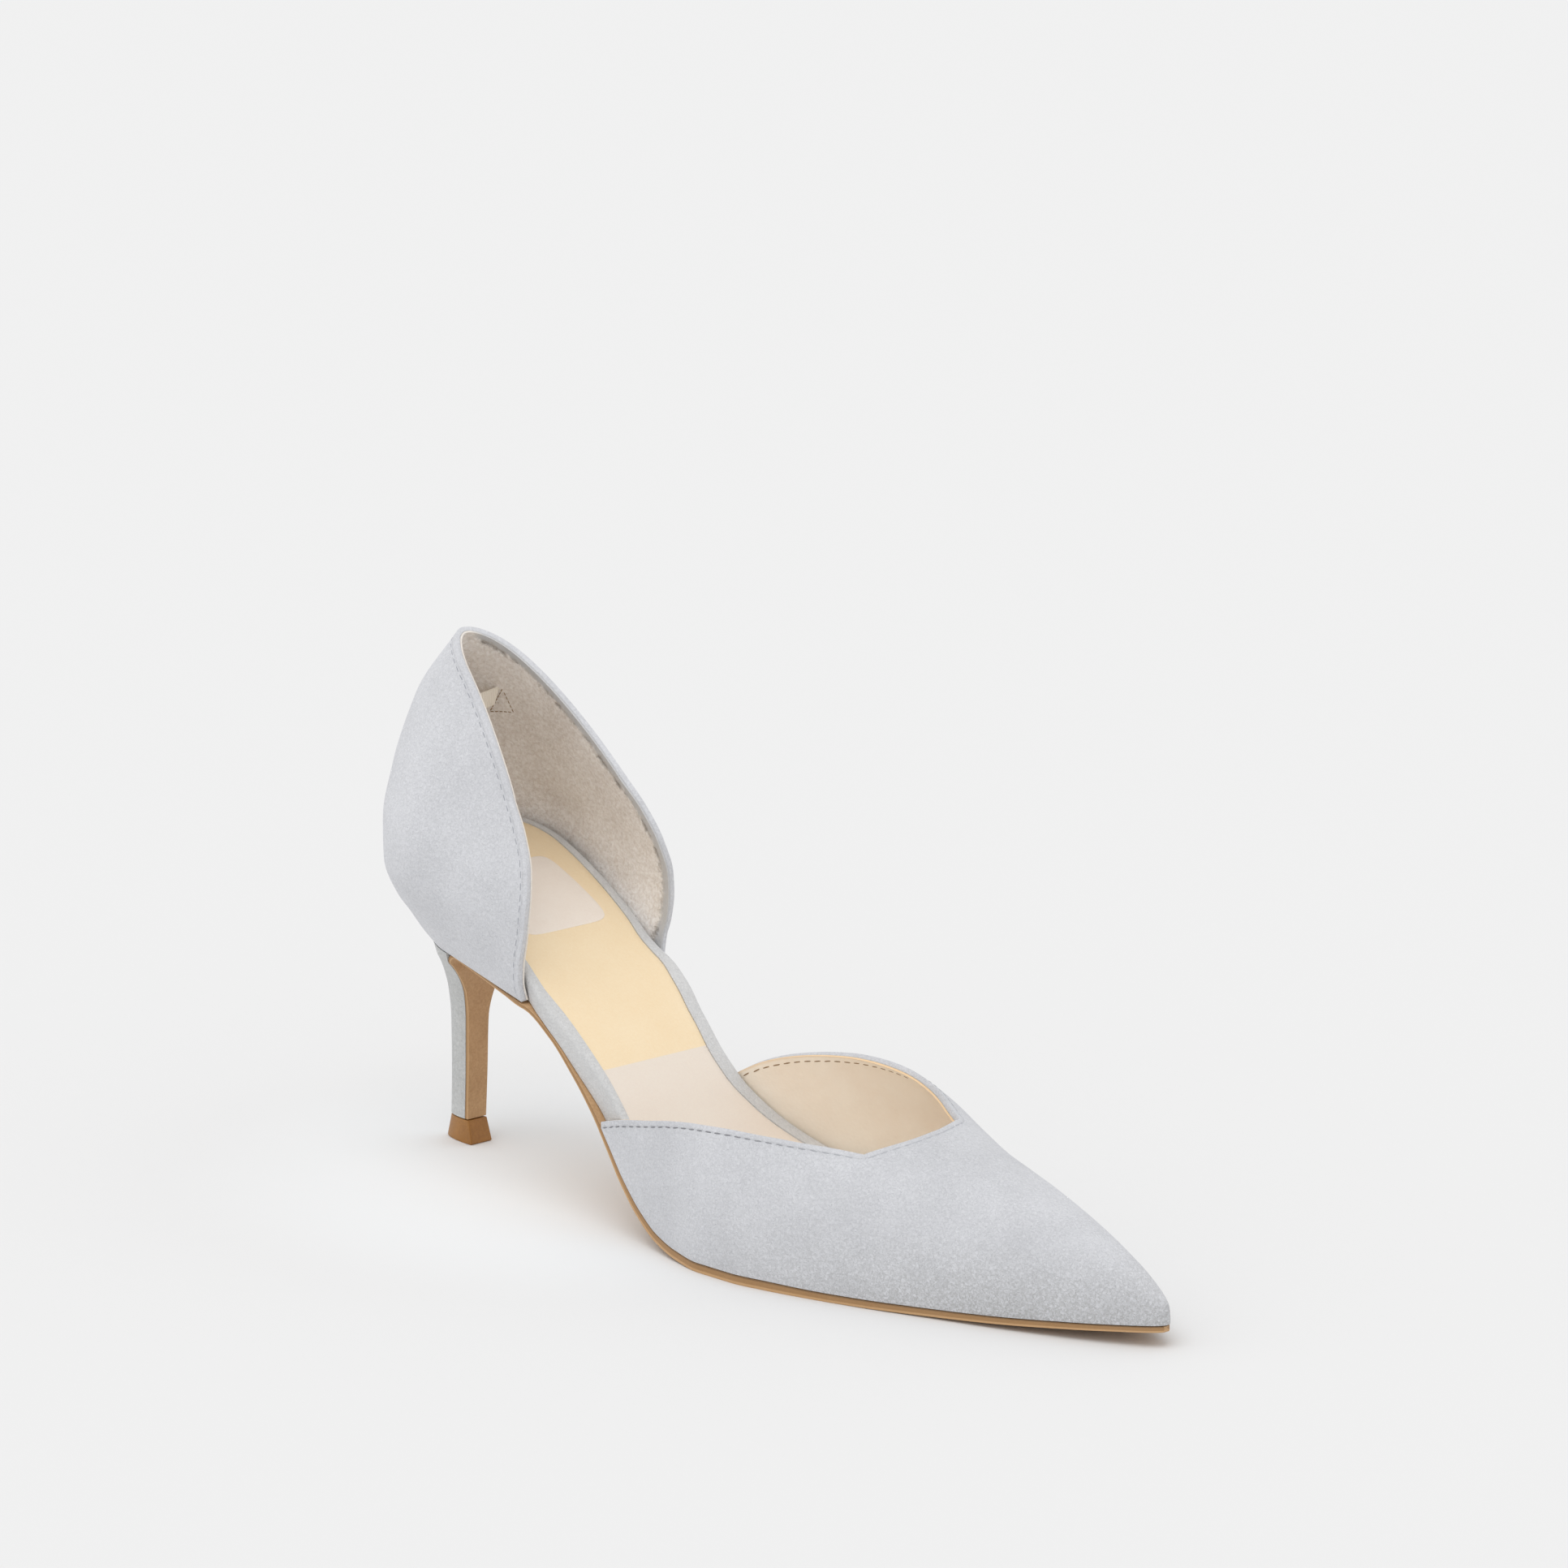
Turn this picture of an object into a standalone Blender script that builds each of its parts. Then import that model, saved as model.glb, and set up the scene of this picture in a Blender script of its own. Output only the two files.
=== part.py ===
"""Pointed two-piece court shoe for the right foot, on a slim covered heel.

The toe points along +X, the inner side of the foot is +Y, and the shoe stands
on z = 0. Lengths are in millimetres until a mesh is made, and x runs from the
back of the heel to the toe. Tables give shares, in percent, of the driving
dimensions, so that the last grades with its length, width and heights.
"""

from math import asin, cos, pi, sin, sqrt

import bmesh
import bpy
import numpy as np

MM = 0.001
CLEARANCE = 0.3

# Distances in metres under which points and edges of a mesh are one
MERGE = 0.00002
SLIVER = 0.00001

# Driving dimensions of the last
SHOE_LENGTH = 240.0
BALL_WIDTH = 70.0
INSTEP_HEIGHT = 50.0
HEEL_HEIGHT = 72.0
BACK_HEIGHT = 122.0

# Thicknesses and margins of the made pieces
UPPER_WALL = 1.8
FLAP_THICK = 1.0
SOLE_INSET = 0.2
INSOLE_THICK = 4.6
INSOLE_ROUND = 1.5
RIM_PROUD = 0.3
RIM_STEP = 1.0
HEEL_CUP_DISH = 1.8
SOCK_THICK = 0.8

# Toe, throat and wings
NOSE_LENGTH = 14.0
TIP_SETBACK = 0.4
INSOLE_SETBACK = 8.0
SOCK_SETBACK = 12.0
THROAT = 166.5
THROAT_BOW = 4.5
WING_END = 89.5
WING_END_HEIGHT = 1.0

# Rise of the quarter's rim over the middle of the back, and how soon it fades below the rim
QUARTER_CREST = 1.2
CREST_POWER = 4

# Heel cup of the insole
CUP_BACK = 3.2
CUP_REACH = 24.0
CUP_HALF = 23.4
CUP_FRONT = 58.0
CUP_FRONT_HALF = 20.2
CUP_BLEND = 5.0
CUP_DRAFT = 3.6
DRAFT_END = 51.0

# Largest shares that the insole's draft takes of its width and its rounding of its rim
DRAFT_SHARE = 0.3
ROUND_SHARE = 0.8

# Heel breast, top lift and hanging loop
HEEL_SEAT_FRONT = 25.6
BREAST_ROUND = 4.0
SEAT_BLOCK_FRONT = 48.0
SEAT_BLOCK_INSET = 3.4
LIFT_HEIGHT = 5.6
LIFT_FLARE = 1.1
LIFT_CHAMFER = 0.3
LIFT_SIDE = 0.25
LOOP_PLACE = 16.0
LOOP_HEIGHT = 102.2
LOOP_WIDTH = 4.2
LOOP_THICK = 0.6
LOOP_SPAN = 9.5
LOOP_BOW = 1.5
LOOP_SAG = 1.6

# Bottom of the last: along in percent of length, edges in percent of ball width, tread
# of the sole in percent of heel height, thickness of the sole in millimetres
BOTTOM = {
    "along":   (4.4, 11.0, 16.7, 21.7, 25.5, 29.2, 32.5, 35.8, 38.3, 41.0, 44.0, 47.5,
                51.0, 55.0, 59.0, 63.0, 67.5, 73.0, 79.0, 85.5, 92.0, 96.0, 100.0),
    "lateral": (12.6, 18.8, 24.3, 29.0, 32.6, 32.5, 32.9, 34.3, 36.0, 38.2, 40.6, 43.8,
                46.8, 49.4, 49.4, 47.2, 43.4, 37.8, 30.6, 22.8, 14.0, 8.0, 4.0),
    "medial":  (13.0, 19.4, 25.0, 29.7, 32.4, 30.4, 27.4, 26.2, 25.8, 28.9, 34.6, 40.4,
                45.6, 49.4, 50.8, 49.6, 46.2, 40.4, 33.2, 26.0, 18.4, 13.6, 9.4),
    "tread":   (68.6, 66.4, 64.6, 62.6, 61.3, 54.0, 44.1, 33.7, 24.9, 15.8, 8.1, 2.9,
                0.7, 0.0, 0.0, 0.0, 0.0, 0.14, 0.6, 1.5, 3.0, 4.0, 4.9),
    "thick":   (0.85, 0.85, 0.85, 0.85, 0.8, 0.75, 0.8, 1.0, 1.25, 1.5, 1.75, 1.9,
                2.0, 2.0, 2.0, 2.0, 1.8, 1.7, 1.6, 1.5, 1.4, 1.3, 1.3),
}

# Upper face of the sock along its middle, in percent of length and heel height
FOOTBED = {
    "along": (1.0, 6.0, 10.8, 14.2, 18.3, 22.0, 25.0, 28.5, 32.0, 35.4, 38.5,
              41.5, 44.5, 48.0, 52.0, 57.0, 67.0, 83.0, 98.0),
    "rise":  (104.0, 100.8, 95.8, 91.8, 85.8, 78.9, 71.8, 63.8, 55.9, 47.4, 39.2,
              30.4, 22.8, 17.2, 14.2, 12.8, 11.8, 12.0, 14.0),
}

# Margins in millimetres: of the insole inside the edge of the bottom, and of the sock
# inside the edges of the insole
MARGIN = {
    "along": (0.0, 20.0, 25.4, 27.2, 29.2, 33.0, 37.0, 44.0, 52.0, 62.0, 72.0, 86.0, 100.0),
    "insole": (2.5, 2.5, 2.1, 0.9, 0.6, 1.2, 2.3, 2.3, 2.3, 2.3, 2.4, 3.2, 3.8),
    "lateral": (2.0, 2.0, 2.2, 2.9, 3.3, 2.5, 1.8, 2.2, 2.6, 2.6, 2.6, 2.4, 2.2),
    "medial": (2.0, 3.2, 3.6, 4.0, 4.4, 4.2, 4.5, 4.5, 4.1, 3.2, 2.6, 2.4, 2.2),
}

# Rounded cross sections of the last above the sole: crown in percent of instep
# height, then the power of the rounded section on each side
CROWN = {
    "along":   (36.0, 42.0, 48.0, 52.0, 56.0, 60.5, 64.5, 69.0, 74.0, 78.0, 82.0,
                86.0, 90.0, 94.0, 96.5, 98.5, 100.0),
    "crown":   (108., 104., 99.0, 94.0, 88.0, 81.0, 74.6, 67.6, 60.4, 55.4, 49.9,
                43.4, 35.5, 25.9, 19.4, 14.0, 9.4),
    "lateral": (2.3, 2.3, 2.4, 2.4, 2.4, 2.45, 2.6, 2.6, 2.5, 2.4, 2.4,
                2.3, 2.3, 2.2, 2.2, 2.2, 2.2),
    "medial":  (2.3, 2.3, 2.4, 2.4, 2.4, 2.4, 2.35, 2.2, 2.1, 2.15, 2.2,
                2.2, 2.2, 2.2, 2.2, 2.2, 2.2),
}

# Top edge of the vamp's two wings: along in percent of length, height of the edge
# above the floor in percent of instep height
TOPLINE = {
    "along":   (37.2, 40.0, 42.5, 45.0, 48.0, 51.5, 55.5, 60.0, 63.5, 66.5, 69.4),
    "lateral": (47.8, 51.8, 54.6, 57.2, 60.4, 63.0, 64.6, 64.9, 64.7, 64.0, 62.8),
    "medial":  (54.0, 62.6, 67.4, 70.4, 73.0, 74.8, 75.4, 74.6, 73.0, 70.6, 67.8),
}

# Back quarter in rows from its seam to its rim. Back, front and reach, the length of
# the rounded back, are in percent of length, heights in percent of back height, and
# half widths in percent of ball width.
QUARTER = {
    "row":          (0.0, 0.10, 0.20, 0.30, 0.42, 0.55, 0.70, 0.86, 1.0),
    "back":         (4.4, 2.85, 1.55, 0.6, 0.2, 0.15, 0.4, 1.95, 6.6),
    "back_height":  (41.4, 44.4, 47.7, 51.0, 57.4, 65.6, 74.6, 87.0, 98.9),
    "reach":        (5.8, 8.0, 10.0, 11.0, 11.4, 11.7, 12.0, 10.4, 4.5),
    "wide":         (15.0, 19.4, 24.4, 30.0, 37.0, 38.0, 32.8, 21.0, 8.5),
    "front":        (25.15, 24.9, 25.05, 25.5, 25.9, 26.0, 25.4, 23.7, 21.6),
    "front_height": (37.35, 40.3, 43.6, 47.0, 51.4, 56.4, 62.4, 68.8, 74.2),
    "front_wide":   (31.9, 32.6, 33.0, 33.5, 33.4, 32.6, 30.3, 27.7, 25.1),
    "drop":         (1.0, 1.0, 1.05, 1.1, 1.15, 1.2, 1.3, 1.4, 1.5),
}

# Heel below the seam: height in percent of heel height, the rest in millimetres. Bow is
# the half width of the rounded back, wide the half width at the breast.
HEEL = {
    "height": (8.2, 24.0, 41.0, 50.5, 56.5, 61.0, 64.0),
    "back":   (12.4, 12.6, 12.4, 12.0, 11.7, 11.4, 11.1),
    "front":  (19.5, 19.9, 20.1, 20.8, 22.0, 23.5, 24.3),
    "bow":    (2.9, 3.0, 3.2, 4.6, 6.6, 8.1, 9.1),
    "wide":   (2.9, 3.0, 3.15, 4.3, 6.8, 10.0, 12.4),
}

# Finishes: base colour, roughness
FINISH = {
    "suede": ((0.62, 0.66, 0.72), 0.95),
    "tan_sole": ((0.42, 0.26, 0.13), 0.55),
    "caramel_lift": ((0.36, 0.21, 0.08), 0.45),
    "sock_satin": ((0.80, 0.60, 0.36), 0.50),
    "cream_ribbon": ((0.84, 0.76, 0.66), 0.70),
}


def smooth(table, column, scale, key="along", key_scale=SHOE_LENGTH / 100.0):
    """Give a curve through a table's column that never overshoots its rows."""
    xs = np.array(table[key]) * key_scale
    ys = np.array(table[column]) * scale
    step = np.diff(xs)
    slope = np.diff(ys) / step
    tangent = np.zeros(len(xs))
    tangent[0] = slope[0]
    tangent[-1] = slope[-1]
    for i in range(1, len(xs) - 1):
        if slope[i - 1] * slope[i] > 0.0:
            before = 2.0 * step[i] + step[i - 1]
            after = step[i] + 2.0 * step[i - 1]
            tangent[i] = (before + after) / (before / slope[i - 1] + after / slope[i])

    def value(x):
        x = min(max(float(x), xs[0]), xs[-1])
        i = min(int(np.searchsorted(xs, x, side="right")) - 1, len(step) - 1)
        t = (x - xs[i]) / step[i]
        rest = 1.0 - t
        return ((1 + 2 * t) * rest * rest * ys[i] + t * rest * rest * step[i] * tangent[i]
                + t * t * (3 - 2 * t) * ys[i + 1] - t * t * rest * step[i] * tangent[i + 1])

    return value


WIDTH = BALL_WIDTH / 100.0
lateral_edge = smooth(BOTTOM, "lateral", WIDTH)
medial_edge = smooth(BOTTOM, "medial", WIDTH)
tread = smooth(BOTTOM, "tread", HEEL_HEIGHT / 100.0)
sole_thickness = smooth(BOTTOM, "thick", 1.0)
footbed = smooth(FOOTBED, "rise", HEEL_HEIGHT / 100.0)
margin = {name: smooth(MARGIN, name, 1.0) for name in ("insole", "lateral", "medial")}
crown = smooth(CROWN, "crown", INSTEP_HEIGHT / 100.0)
fullness = {side: smooth(CROWN, side, 1.0) for side in ("lateral", "medial")}
topline = {side: smooth(TOPLINE, side, INSTEP_HEIGHT / 100.0) for side in ("lateral", "medial")}
QUARTER_SCALE = {
    "back": SHOE_LENGTH, "front": SHOE_LENGTH, "reach": SHOE_LENGTH,
    "back_height": BACK_HEIGHT, "front_height": BACK_HEIGHT,
    "wide": BALL_WIDTH, "front_wide": BALL_WIDTH, "drop": 100.0,
}
quarter = {name: smooth(QUARTER, name, scale / 100.0, "row", 1.0)
           for name, scale in QUARTER_SCALE.items()}
heel_level = {name: smooth(HEEL, name, 1.0, "height", HEEL_HEIGHT / 100.0)
              for name in ("back", "front", "bow", "wide")}


def ease(low, high, x):
    """Go smoothly from 0 at low to 1 at high."""
    t = min(max((x - low) / (high - low), 0.0), 1.0)
    return t * t * (3.0 - 2.0 * t)


def rounded(t):
    """Give the height of a quarter circle of radius 1, flat past t = 1."""
    t = min(max(t, 0.0), 1.0)
    return sqrt(1.0 - (1.0 - t) ** 2)


def sole_top(x):
    """Give the height of the sole's upper face."""
    slope = tread(x + 0.5) - tread(x - 0.5)
    return tread(x) + sole_thickness(x) * sqrt(1.0 + slope * slope)


def outline(x):
    """Give the y of the sole's two edges at x, rounded off at the toe."""
    middle = 0.5 * (medial_edge(x) - lateral_edge(x))
    half = 0.5 * (medial_edge(x) + lateral_edge(x))
    nose = max(x - (SHOE_LENGTH - NOSE_LENGTH), 0.0) / NOSE_LENGTH
    half *= sqrt(max(1.0 - nose * nose, 0.0))
    return middle - half, middle + half


def bottom_edges(x, inset, step=0.05):
    """Give the two edges moved in by a distance that is square to them."""
    before, after = outline(x - step), outline(min(x + step, SHOE_LENGTH))
    moved = [inset * sqrt(1.0 + ((b - a) / (2.0 * step)) ** 2) for a, b in zip(before, after)]
    low, high = outline(x)
    return low + moved[0], high - moved[1]


def spread(low, high, count, lean=1.0):
    """Give count + 1 places from low to high, closer to the high end as lean grows."""
    return [high - (high - low) * (1.0 - i / count) ** lean for i in range(count + 1)]


def new_object(name, finish, vertices, faces):
    """Make one named object with its own material from points in millimetres."""
    colour, roughness = FINISH[finish]
    mesh = bpy.data.meshes.new(name)
    mesh.from_pydata([tuple(MM * c for c in v) for v in vertices], [], faces)
    edit = bmesh.new()
    edit.from_mesh(mesh)
    bmesh.ops.remove_doubles(edit, verts=edit.verts, dist=MERGE)
    bmesh.ops.dissolve_degenerate(edit, edges=edit.edges, dist=SLIVER)
    bmesh.ops.recalc_face_normals(edit, faces=edit.faces)
    edit.to_mesh(mesh)
    edit.free()
    mesh.shade_smooth()
    material = bpy.data.materials.new(name + "_" + finish)
    material.use_nodes = True
    shader = material.node_tree.nodes["Principled BSDF"]
    shader.inputs["Base Color"].default_value = (*colour, 1.0)
    shader.inputs["Roughness"].default_value = roughness
    shader.inputs["Metallic"].default_value = 0.0
    mesh.materials.append(material)
    piece = bpy.data.objects.new(name, mesh)
    bpy.context.scene.collection.objects.link(piece)
    return piece


def grid_faces(rows, columns, start=0):
    """Give the quads of a grid of points stored row by row."""
    faces = []
    for i in range(rows - 1):
        for j in range(columns - 1):
            a = start + i * columns + j
            faces.append((a, a + 1, a + columns + 1, a + columns))
    return faces


def loft(name, finish, rings):
    """Close a stack of rings of equal count into one solid, with flat ends."""
    count = len(rings[0])
    vertices = [point for ring in rings for point in ring]
    faces = [tuple(range(count)), tuple(len(vertices) - count + k for k in range(count))]
    for i in range(len(rings) - 1):
        for j in range(count):
            a = i * count + j
            b = i * count + (j + 1) % count
            faces.append((a, b, b + count, a + count))
    return new_object(name, finish, vertices, faces)


def thicken(piece, wall):
    """Give an open sheet its wall, inwards from its outer face."""
    solidify = piece.modifiers.new("wall", "SOLIDIFY")
    solidify.thickness = wall * MM
    solidify.offset = -1.0
    solidify.use_even_offset = True
    solidify.use_quality_normals = True


# Vamp

def vamp_point(x, angle):
    """Give a point of the last's forepart, from the lateral to the medial edge."""
    low, high = outline(x)
    side = cos(angle)
    power = 2.0 / fullness["lateral" if side >= 0.0 else "medial"](x)
    reach = abs(side) ** power * (1.0 if side >= 0.0 else -1.0)
    y = 0.5 * (low + high) - 0.5 * (high - low) * reach
    z = sole_top(x) + CLEARANCE + crown(x) * max(sin(angle), 0.0) ** power
    return (x, y, z)


def edge_angle(x, side):
    """Give the angle at which the top edge cuts the section at x, even on both sides at the toe."""
    at = min(x, THROAT)
    angles = {}
    for name, curve in topline.items():
        height = max(curve(at) - sole_top(at) - CLEARANCE, WING_END_HEIGHT)
        angles[name] = asin(min(height / crown(at), 1.0) ** (0.5 * fullness[name](at)))
    even = 0.5 * (angles["lateral"] + angles["medial"])
    return angles[side] + (even - angles[side]) * ease(THROAT, SHOE_LENGTH, x)


def build_vamp(wing_rows=24, toe_rows=20, toe_lean=1.6, side_columns=9, throat_columns=8):
    """Build the pointed vamp with its two wings, open at the throat and underneath."""
    stations = spread(WING_END, THROAT, wing_rows)
    stations += spread(THROAT, SHOE_LENGTH, toe_rows, toe_lean)[1:]
    vertices = []
    faces = []
    for side in ("lateral", "medial"):
        start = len(vertices)
        for x in stations:
            top = edge_angle(x, side)
            for j in range(side_columns + 1):
                angle = top * j / side_columns
                vertices.append(vamp_point(x, angle if side == "lateral" else pi - angle))
        faces += grid_faces(len(stations), side_columns + 1, start)
    start = len(vertices)
    for station in stations[wing_rows:]:
        for j in range(throat_columns + 1):
            bow = THROAT_BOW * sin(pi * j / throat_columns)
            x = station + bow * (SHOE_LENGTH - station) / (SHOE_LENGTH - THROAT)
            low = edge_angle(station, "lateral")
            high = pi - edge_angle(station, "medial")
            vertices.append(vamp_point(x, low + (high - low) * j / throat_columns))
    faces += grid_faces(toe_rows + 1, throat_columns + 1, start)
    vamp = new_object("vamp", "suede", vertices, faces)
    thicken(vamp, UPPER_WALL)
    return vamp


# Back quarter

def quarter_half(row, share):
    """Give the half width of a row at a share of its length from the back."""
    length = quarter["front"](row) - quarter["back"](row)
    wide = quarter["wide"](row)
    bow = wide * rounded(share * length / quarter["reach"](row))
    return bow + (quarter["front_wide"](row) - wide) * share


def quarter_point(row, share, side):
    """Give a point of the back quarter's outer face."""
    back, front = quarter["back"](row), quarter["front"](row)
    fall = quarter["back_height"](row) - quarter["front_height"](row)
    aside = rounded(share * (front - back) / quarter["reach"](row))
    z = quarter["back_height"](row) - fall * share ** quarter["drop"](row)
    z += QUARTER_CREST * row ** CREST_POWER * (1.0 - aside ** 2)
    return (back + (front - back) * share, side * quarter_half(row, share), z)


def seam_half(x):
    """Give the half width of the seam at the quarter's lower edge."""
    back = quarter["back"](0.0)
    return quarter_half(0.0, (x - back) / (quarter["front"](0.0) - back))


def build_quarter(rows=15, columns=15, lean=1.7):
    """Build the back quarter, from the seam at the heel up to its leaf shaped rim."""
    vertices = []
    for i in range(rows + 1):
        row = i / rows
        for j in range(-columns, columns + 1):
            share = (abs(j) / columns) ** lean
            vertices.append(quarter_point(row, share, -1.0 if j < 0 else 1.0))
    piece = new_object("back_quarter", "suede", vertices, grid_faces(rows + 1, 2 * columns + 1))
    thicken(piece, UPPER_WALL)
    return piece


# Outsole with its flap down the heel breast

def breast_half(z):
    """Give the half width of the heel's front at a height, up to the seam."""
    top = HEEL["height"][-1] * HEEL_HEIGHT / 100.0
    share = max(z - top, 0.0) / (sole_top(HEEL_SEAT_FRONT) - top)
    return heel_level["wide"](z) + (seam_half(HEEL_SEAT_FRONT) - heel_level["wide"](top)) * share


def outsole_path(rows=46, lean=1.15, turn=5, flap_rows=9):
    """Give the stations of the sole's upper face: x, z, lateral y, medial y, thickness."""
    level = sole_top(HEEL_SEAT_FRONT)
    turn_low = level - BREAST_ROUND
    breast = heel_level["front"](turn_low) + CLEARANCE
    stations = []
    for x in spread(breast + BREAST_ROUND, SHOE_LENGTH - TIP_SETBACK, rows, lean)[::-1]:
        low, high = bottom_edges(x, SOLE_INSET)
        stations.append((x, sole_top(x), low, high, sole_thickness(x)))
    beyond = [edge - breast_half(level) for edge in (-low, high)]
    for i in range(1, turn):
        share = i / turn
        x = breast + BREAST_ROUND * (1.0 - sin(0.5 * pi * share))
        z = level - BREAST_ROUND * (1.0 - cos(0.5 * pi * share))
        wide = [breast_half(z) + more * (1.0 - share) for more in beyond]
        stations.append((x, z, -wide[0], wide[1], FLAP_THICK))
    for z in spread(LIFT_HEIGHT + CLEARANCE, turn_low, flap_rows)[::-1]:
        half = breast_half(z)
        stations.append((heel_level["front"](z) + CLEARANCE, z, -half, half, FLAP_THICK))
    return stations


def build_outsole():
    """Build the outsole in one with the flap that covers the heel breast."""
    path = outsole_path()
    rings = []
    for i, (x, z, low, high, thick) in enumerate(path):
        before, after = path[max(i - 1, 0)], path[min(i + 1, len(path) - 1)]
        along = np.array((after[0] - before[0], after[1] - before[1]))
        along *= thick / np.linalg.norm(along)
        under_x, under_z = x - along[1], z + along[0]
        rings.append([(x, low, z), (x, high, z), (under_x, high, under_z), (under_x, low, under_z)])
    return loft("outsole", "tan_sole", rings)


# Insole and sock

def footbed_edges(x, lateral=0.0, medial=0.0):
    """Give the insole's two edges, moved in: a rounded heel cup that runs into the waist."""
    edges = []
    mix = ease(CUP_FRONT - CUP_BLEND, CUP_FRONT + CUP_BLEND, x)
    waist = bottom_edges(max(x, CUP_REACH), margin["insole"](x))
    for inset, side, edge in ((lateral, -1.0, waist[0]), (medial, 1.0, waist[1])):
        place = x - CUP_BACK - inset
        cup = (CUP_HALF - inset) * rounded(place / (CUP_REACH - inset))
        cup += (CUP_FRONT_HALF - CUP_HALF) * max(place, 0.0) / (CUP_FRONT - CUP_BACK)
        edges.append(side * cup + (edge - side * (inset + cup)) * mix)
    return edges


def footbed_height(x, y):
    """Give the height of the sock's upper face, dished in the heel cup."""
    dish = HEEL_CUP_DISH * (1.0 - ease(CUP_REACH, CUP_FRONT, x))
    return footbed(x) + dish * (y / CUP_HALF) ** 2


def sock_edges(x, clearance=0.0):
    """Give the sock's two edges, or those of the bed that it lies in."""
    return footbed_edges(x, margin["lateral"](x) - clearance, margin["medial"](x) - clearance)


def insole_under(x, y):
    """Give the height of the insole's lower face, on the heel seat or the sole."""
    mix = ease(CUP_FRONT - CUP_BLEND, CUP_FRONT, x)
    on_seat = footbed_height(x, y) - INSOLE_THICK
    return on_seat + (sole_top(x) + CLEARANCE - on_seat) * mix


def foot_stations(rows=42, lean=1.35):
    """Give the places along the sock, closer together in the heel cup."""
    low = CUP_BACK + margin["lateral"](0.0) + 0.5 * CLEARANCE
    high = SHOE_LENGTH - SOCK_SETBACK
    return [low + (high - low) * (i / rows) ** lean for i in range(rows + 1)]


def insole_ring(x, bed, corner=3, across=4):
    """Give a section of the insole: flat below, rounded rims, a bed for the sock."""
    low, high = footbed_edges(x)
    inner_low, inner_high = sock_edges(x, CLEARANCE)
    draft = CUP_DRAFT * (1.0 - ease(DRAFT_END, CUP_FRONT + CUP_BLEND, x))
    draft = min(draft, DRAFT_SHARE * (high - low))
    edge = min(INSOLE_ROUND, ROUND_SHARE * (inner_low - low), ROUND_SHARE * (high - inner_high))
    ring = [(x, low + draft, insole_under(x, low)), (x, high - draft, insole_under(x, high))]

    def rim(y, drop=0.0):
        ring.append((x, y, footbed_height(x, y) + RIM_PROUD - drop))

    for k in range(corner + 1):
        turn = 0.5 * pi * k / corner
        rim(high - edge * (1.0 - cos(turn)), edge * (1.0 - sin(turn)))
    rim(inner_high)
    for k in range(across + 1):
        rim(inner_high + (inner_low - inner_high) * k / across, bed)
    rim(inner_low)
    for k in range(corner, -1, -1):
        turn = 0.5 * pi * k / corner
        rim(low + edge * (1.0 - cos(turn)), edge * (1.0 - sin(turn)))
    return ring


def build_insole():
    """Build the wrapped insole, from the heel cup to the toe."""
    bed = RIM_PROUD + SOCK_THICK + CLEARANCE
    back = CUP_BACK + margin["lateral"](0.0) - CLEARANCE
    front = SHOE_LENGTH - SOCK_SETBACK
    rings = [insole_ring(CUP_BACK + 0.5 * CLEARANCE, 0.0), insole_ring(back, 0.0)]
    rings += [insole_ring(x, bed) for x in foot_stations()]
    rings += [insole_ring(x, 0.0) for x in (front + RIM_STEP, SHOE_LENGTH - INSOLE_SETBACK)]
    return loft("insole", "suede", rings)


def build_sock(across=4):
    """Build the sock that lies in the bed of the insole."""
    rings = []
    for x in foot_stations()[:-1] + [SHOE_LENGTH - SOCK_SETBACK - CLEARANCE]:
        low, high = sock_edges(x)
        places = [low + (high - low) * k / across for k in range(across + 1)]
        under = [(x, y, footbed_height(x, y) - SOCK_THICK) for y in places]
        over = [(x, y, footbed_height(x, y)) for y in places[::-1]]
        rings.append(under + over)
    return loft("sock_liner", "sock_satin", rings)


# Heel, top lift and hanging loop

def bow_ring(back, front, reach, half, front_half, height, count=12, lean=1.6):
    """Give a ring with a rounded back and a straight front, at a height along x."""
    ring = []
    for j in range(-count, count + 1):
        share = (abs(j) / count) ** lean
        x = back + (front - back) * share
        y = half * rounded((x - back) / reach) + (front_half - half) * share
        ring.append((x, y if j > 0 else -y, height(x)))
    return ring


def build_heel(stem_rows=10, lean=1.3):
    """Build the heel: a slim stem that flares to the seam and a seat block inside the quarter."""
    rings = []
    low = LIFT_HEIGHT + CLEARANCE
    high = HEEL["height"][-1] * HEEL_HEIGHT / 100.0
    for z in spread(low, high, stem_rows, lean):
        back, front, bow, wide = (heel_level[name](z) for name in ("back", "front", "bow", "wide"))
        rings.append(bow_ring(back, front, front - back, bow, wide, lambda x, z=z: z))
    back, reach = quarter["back"](0.0), quarter["reach"](0.0)
    half = quarter["wide"](0.0)
    rings.append(bow_ring(back, HEEL_SEAT_FRONT, reach, half, seam_half(HEEL_SEAT_FRONT), sole_top))
    inset = SEAT_BLOCK_INSET
    for front in (HEEL_SEAT_FRONT, SEAT_BLOCK_FRONT):
        rings.append(bow_ring(back + inset, front, reach - inset, half - inset, seam_half(front) - inset,
                              lambda x: sole_top(x) + CLEARANCE))
    inset = CUP_DRAFT + CLEARANCE
    end = footbed_edges(SEAT_BLOCK_FRONT)[1] - inset
    rings.append(bow_ring(CUP_BACK + inset, SEAT_BLOCK_FRONT, CUP_REACH - inset, CUP_HALF - inset, end,
                          lambda x: insole_under(x, 0.0) - CLEARANCE))
    return loft("heel", "suede", rings)


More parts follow.
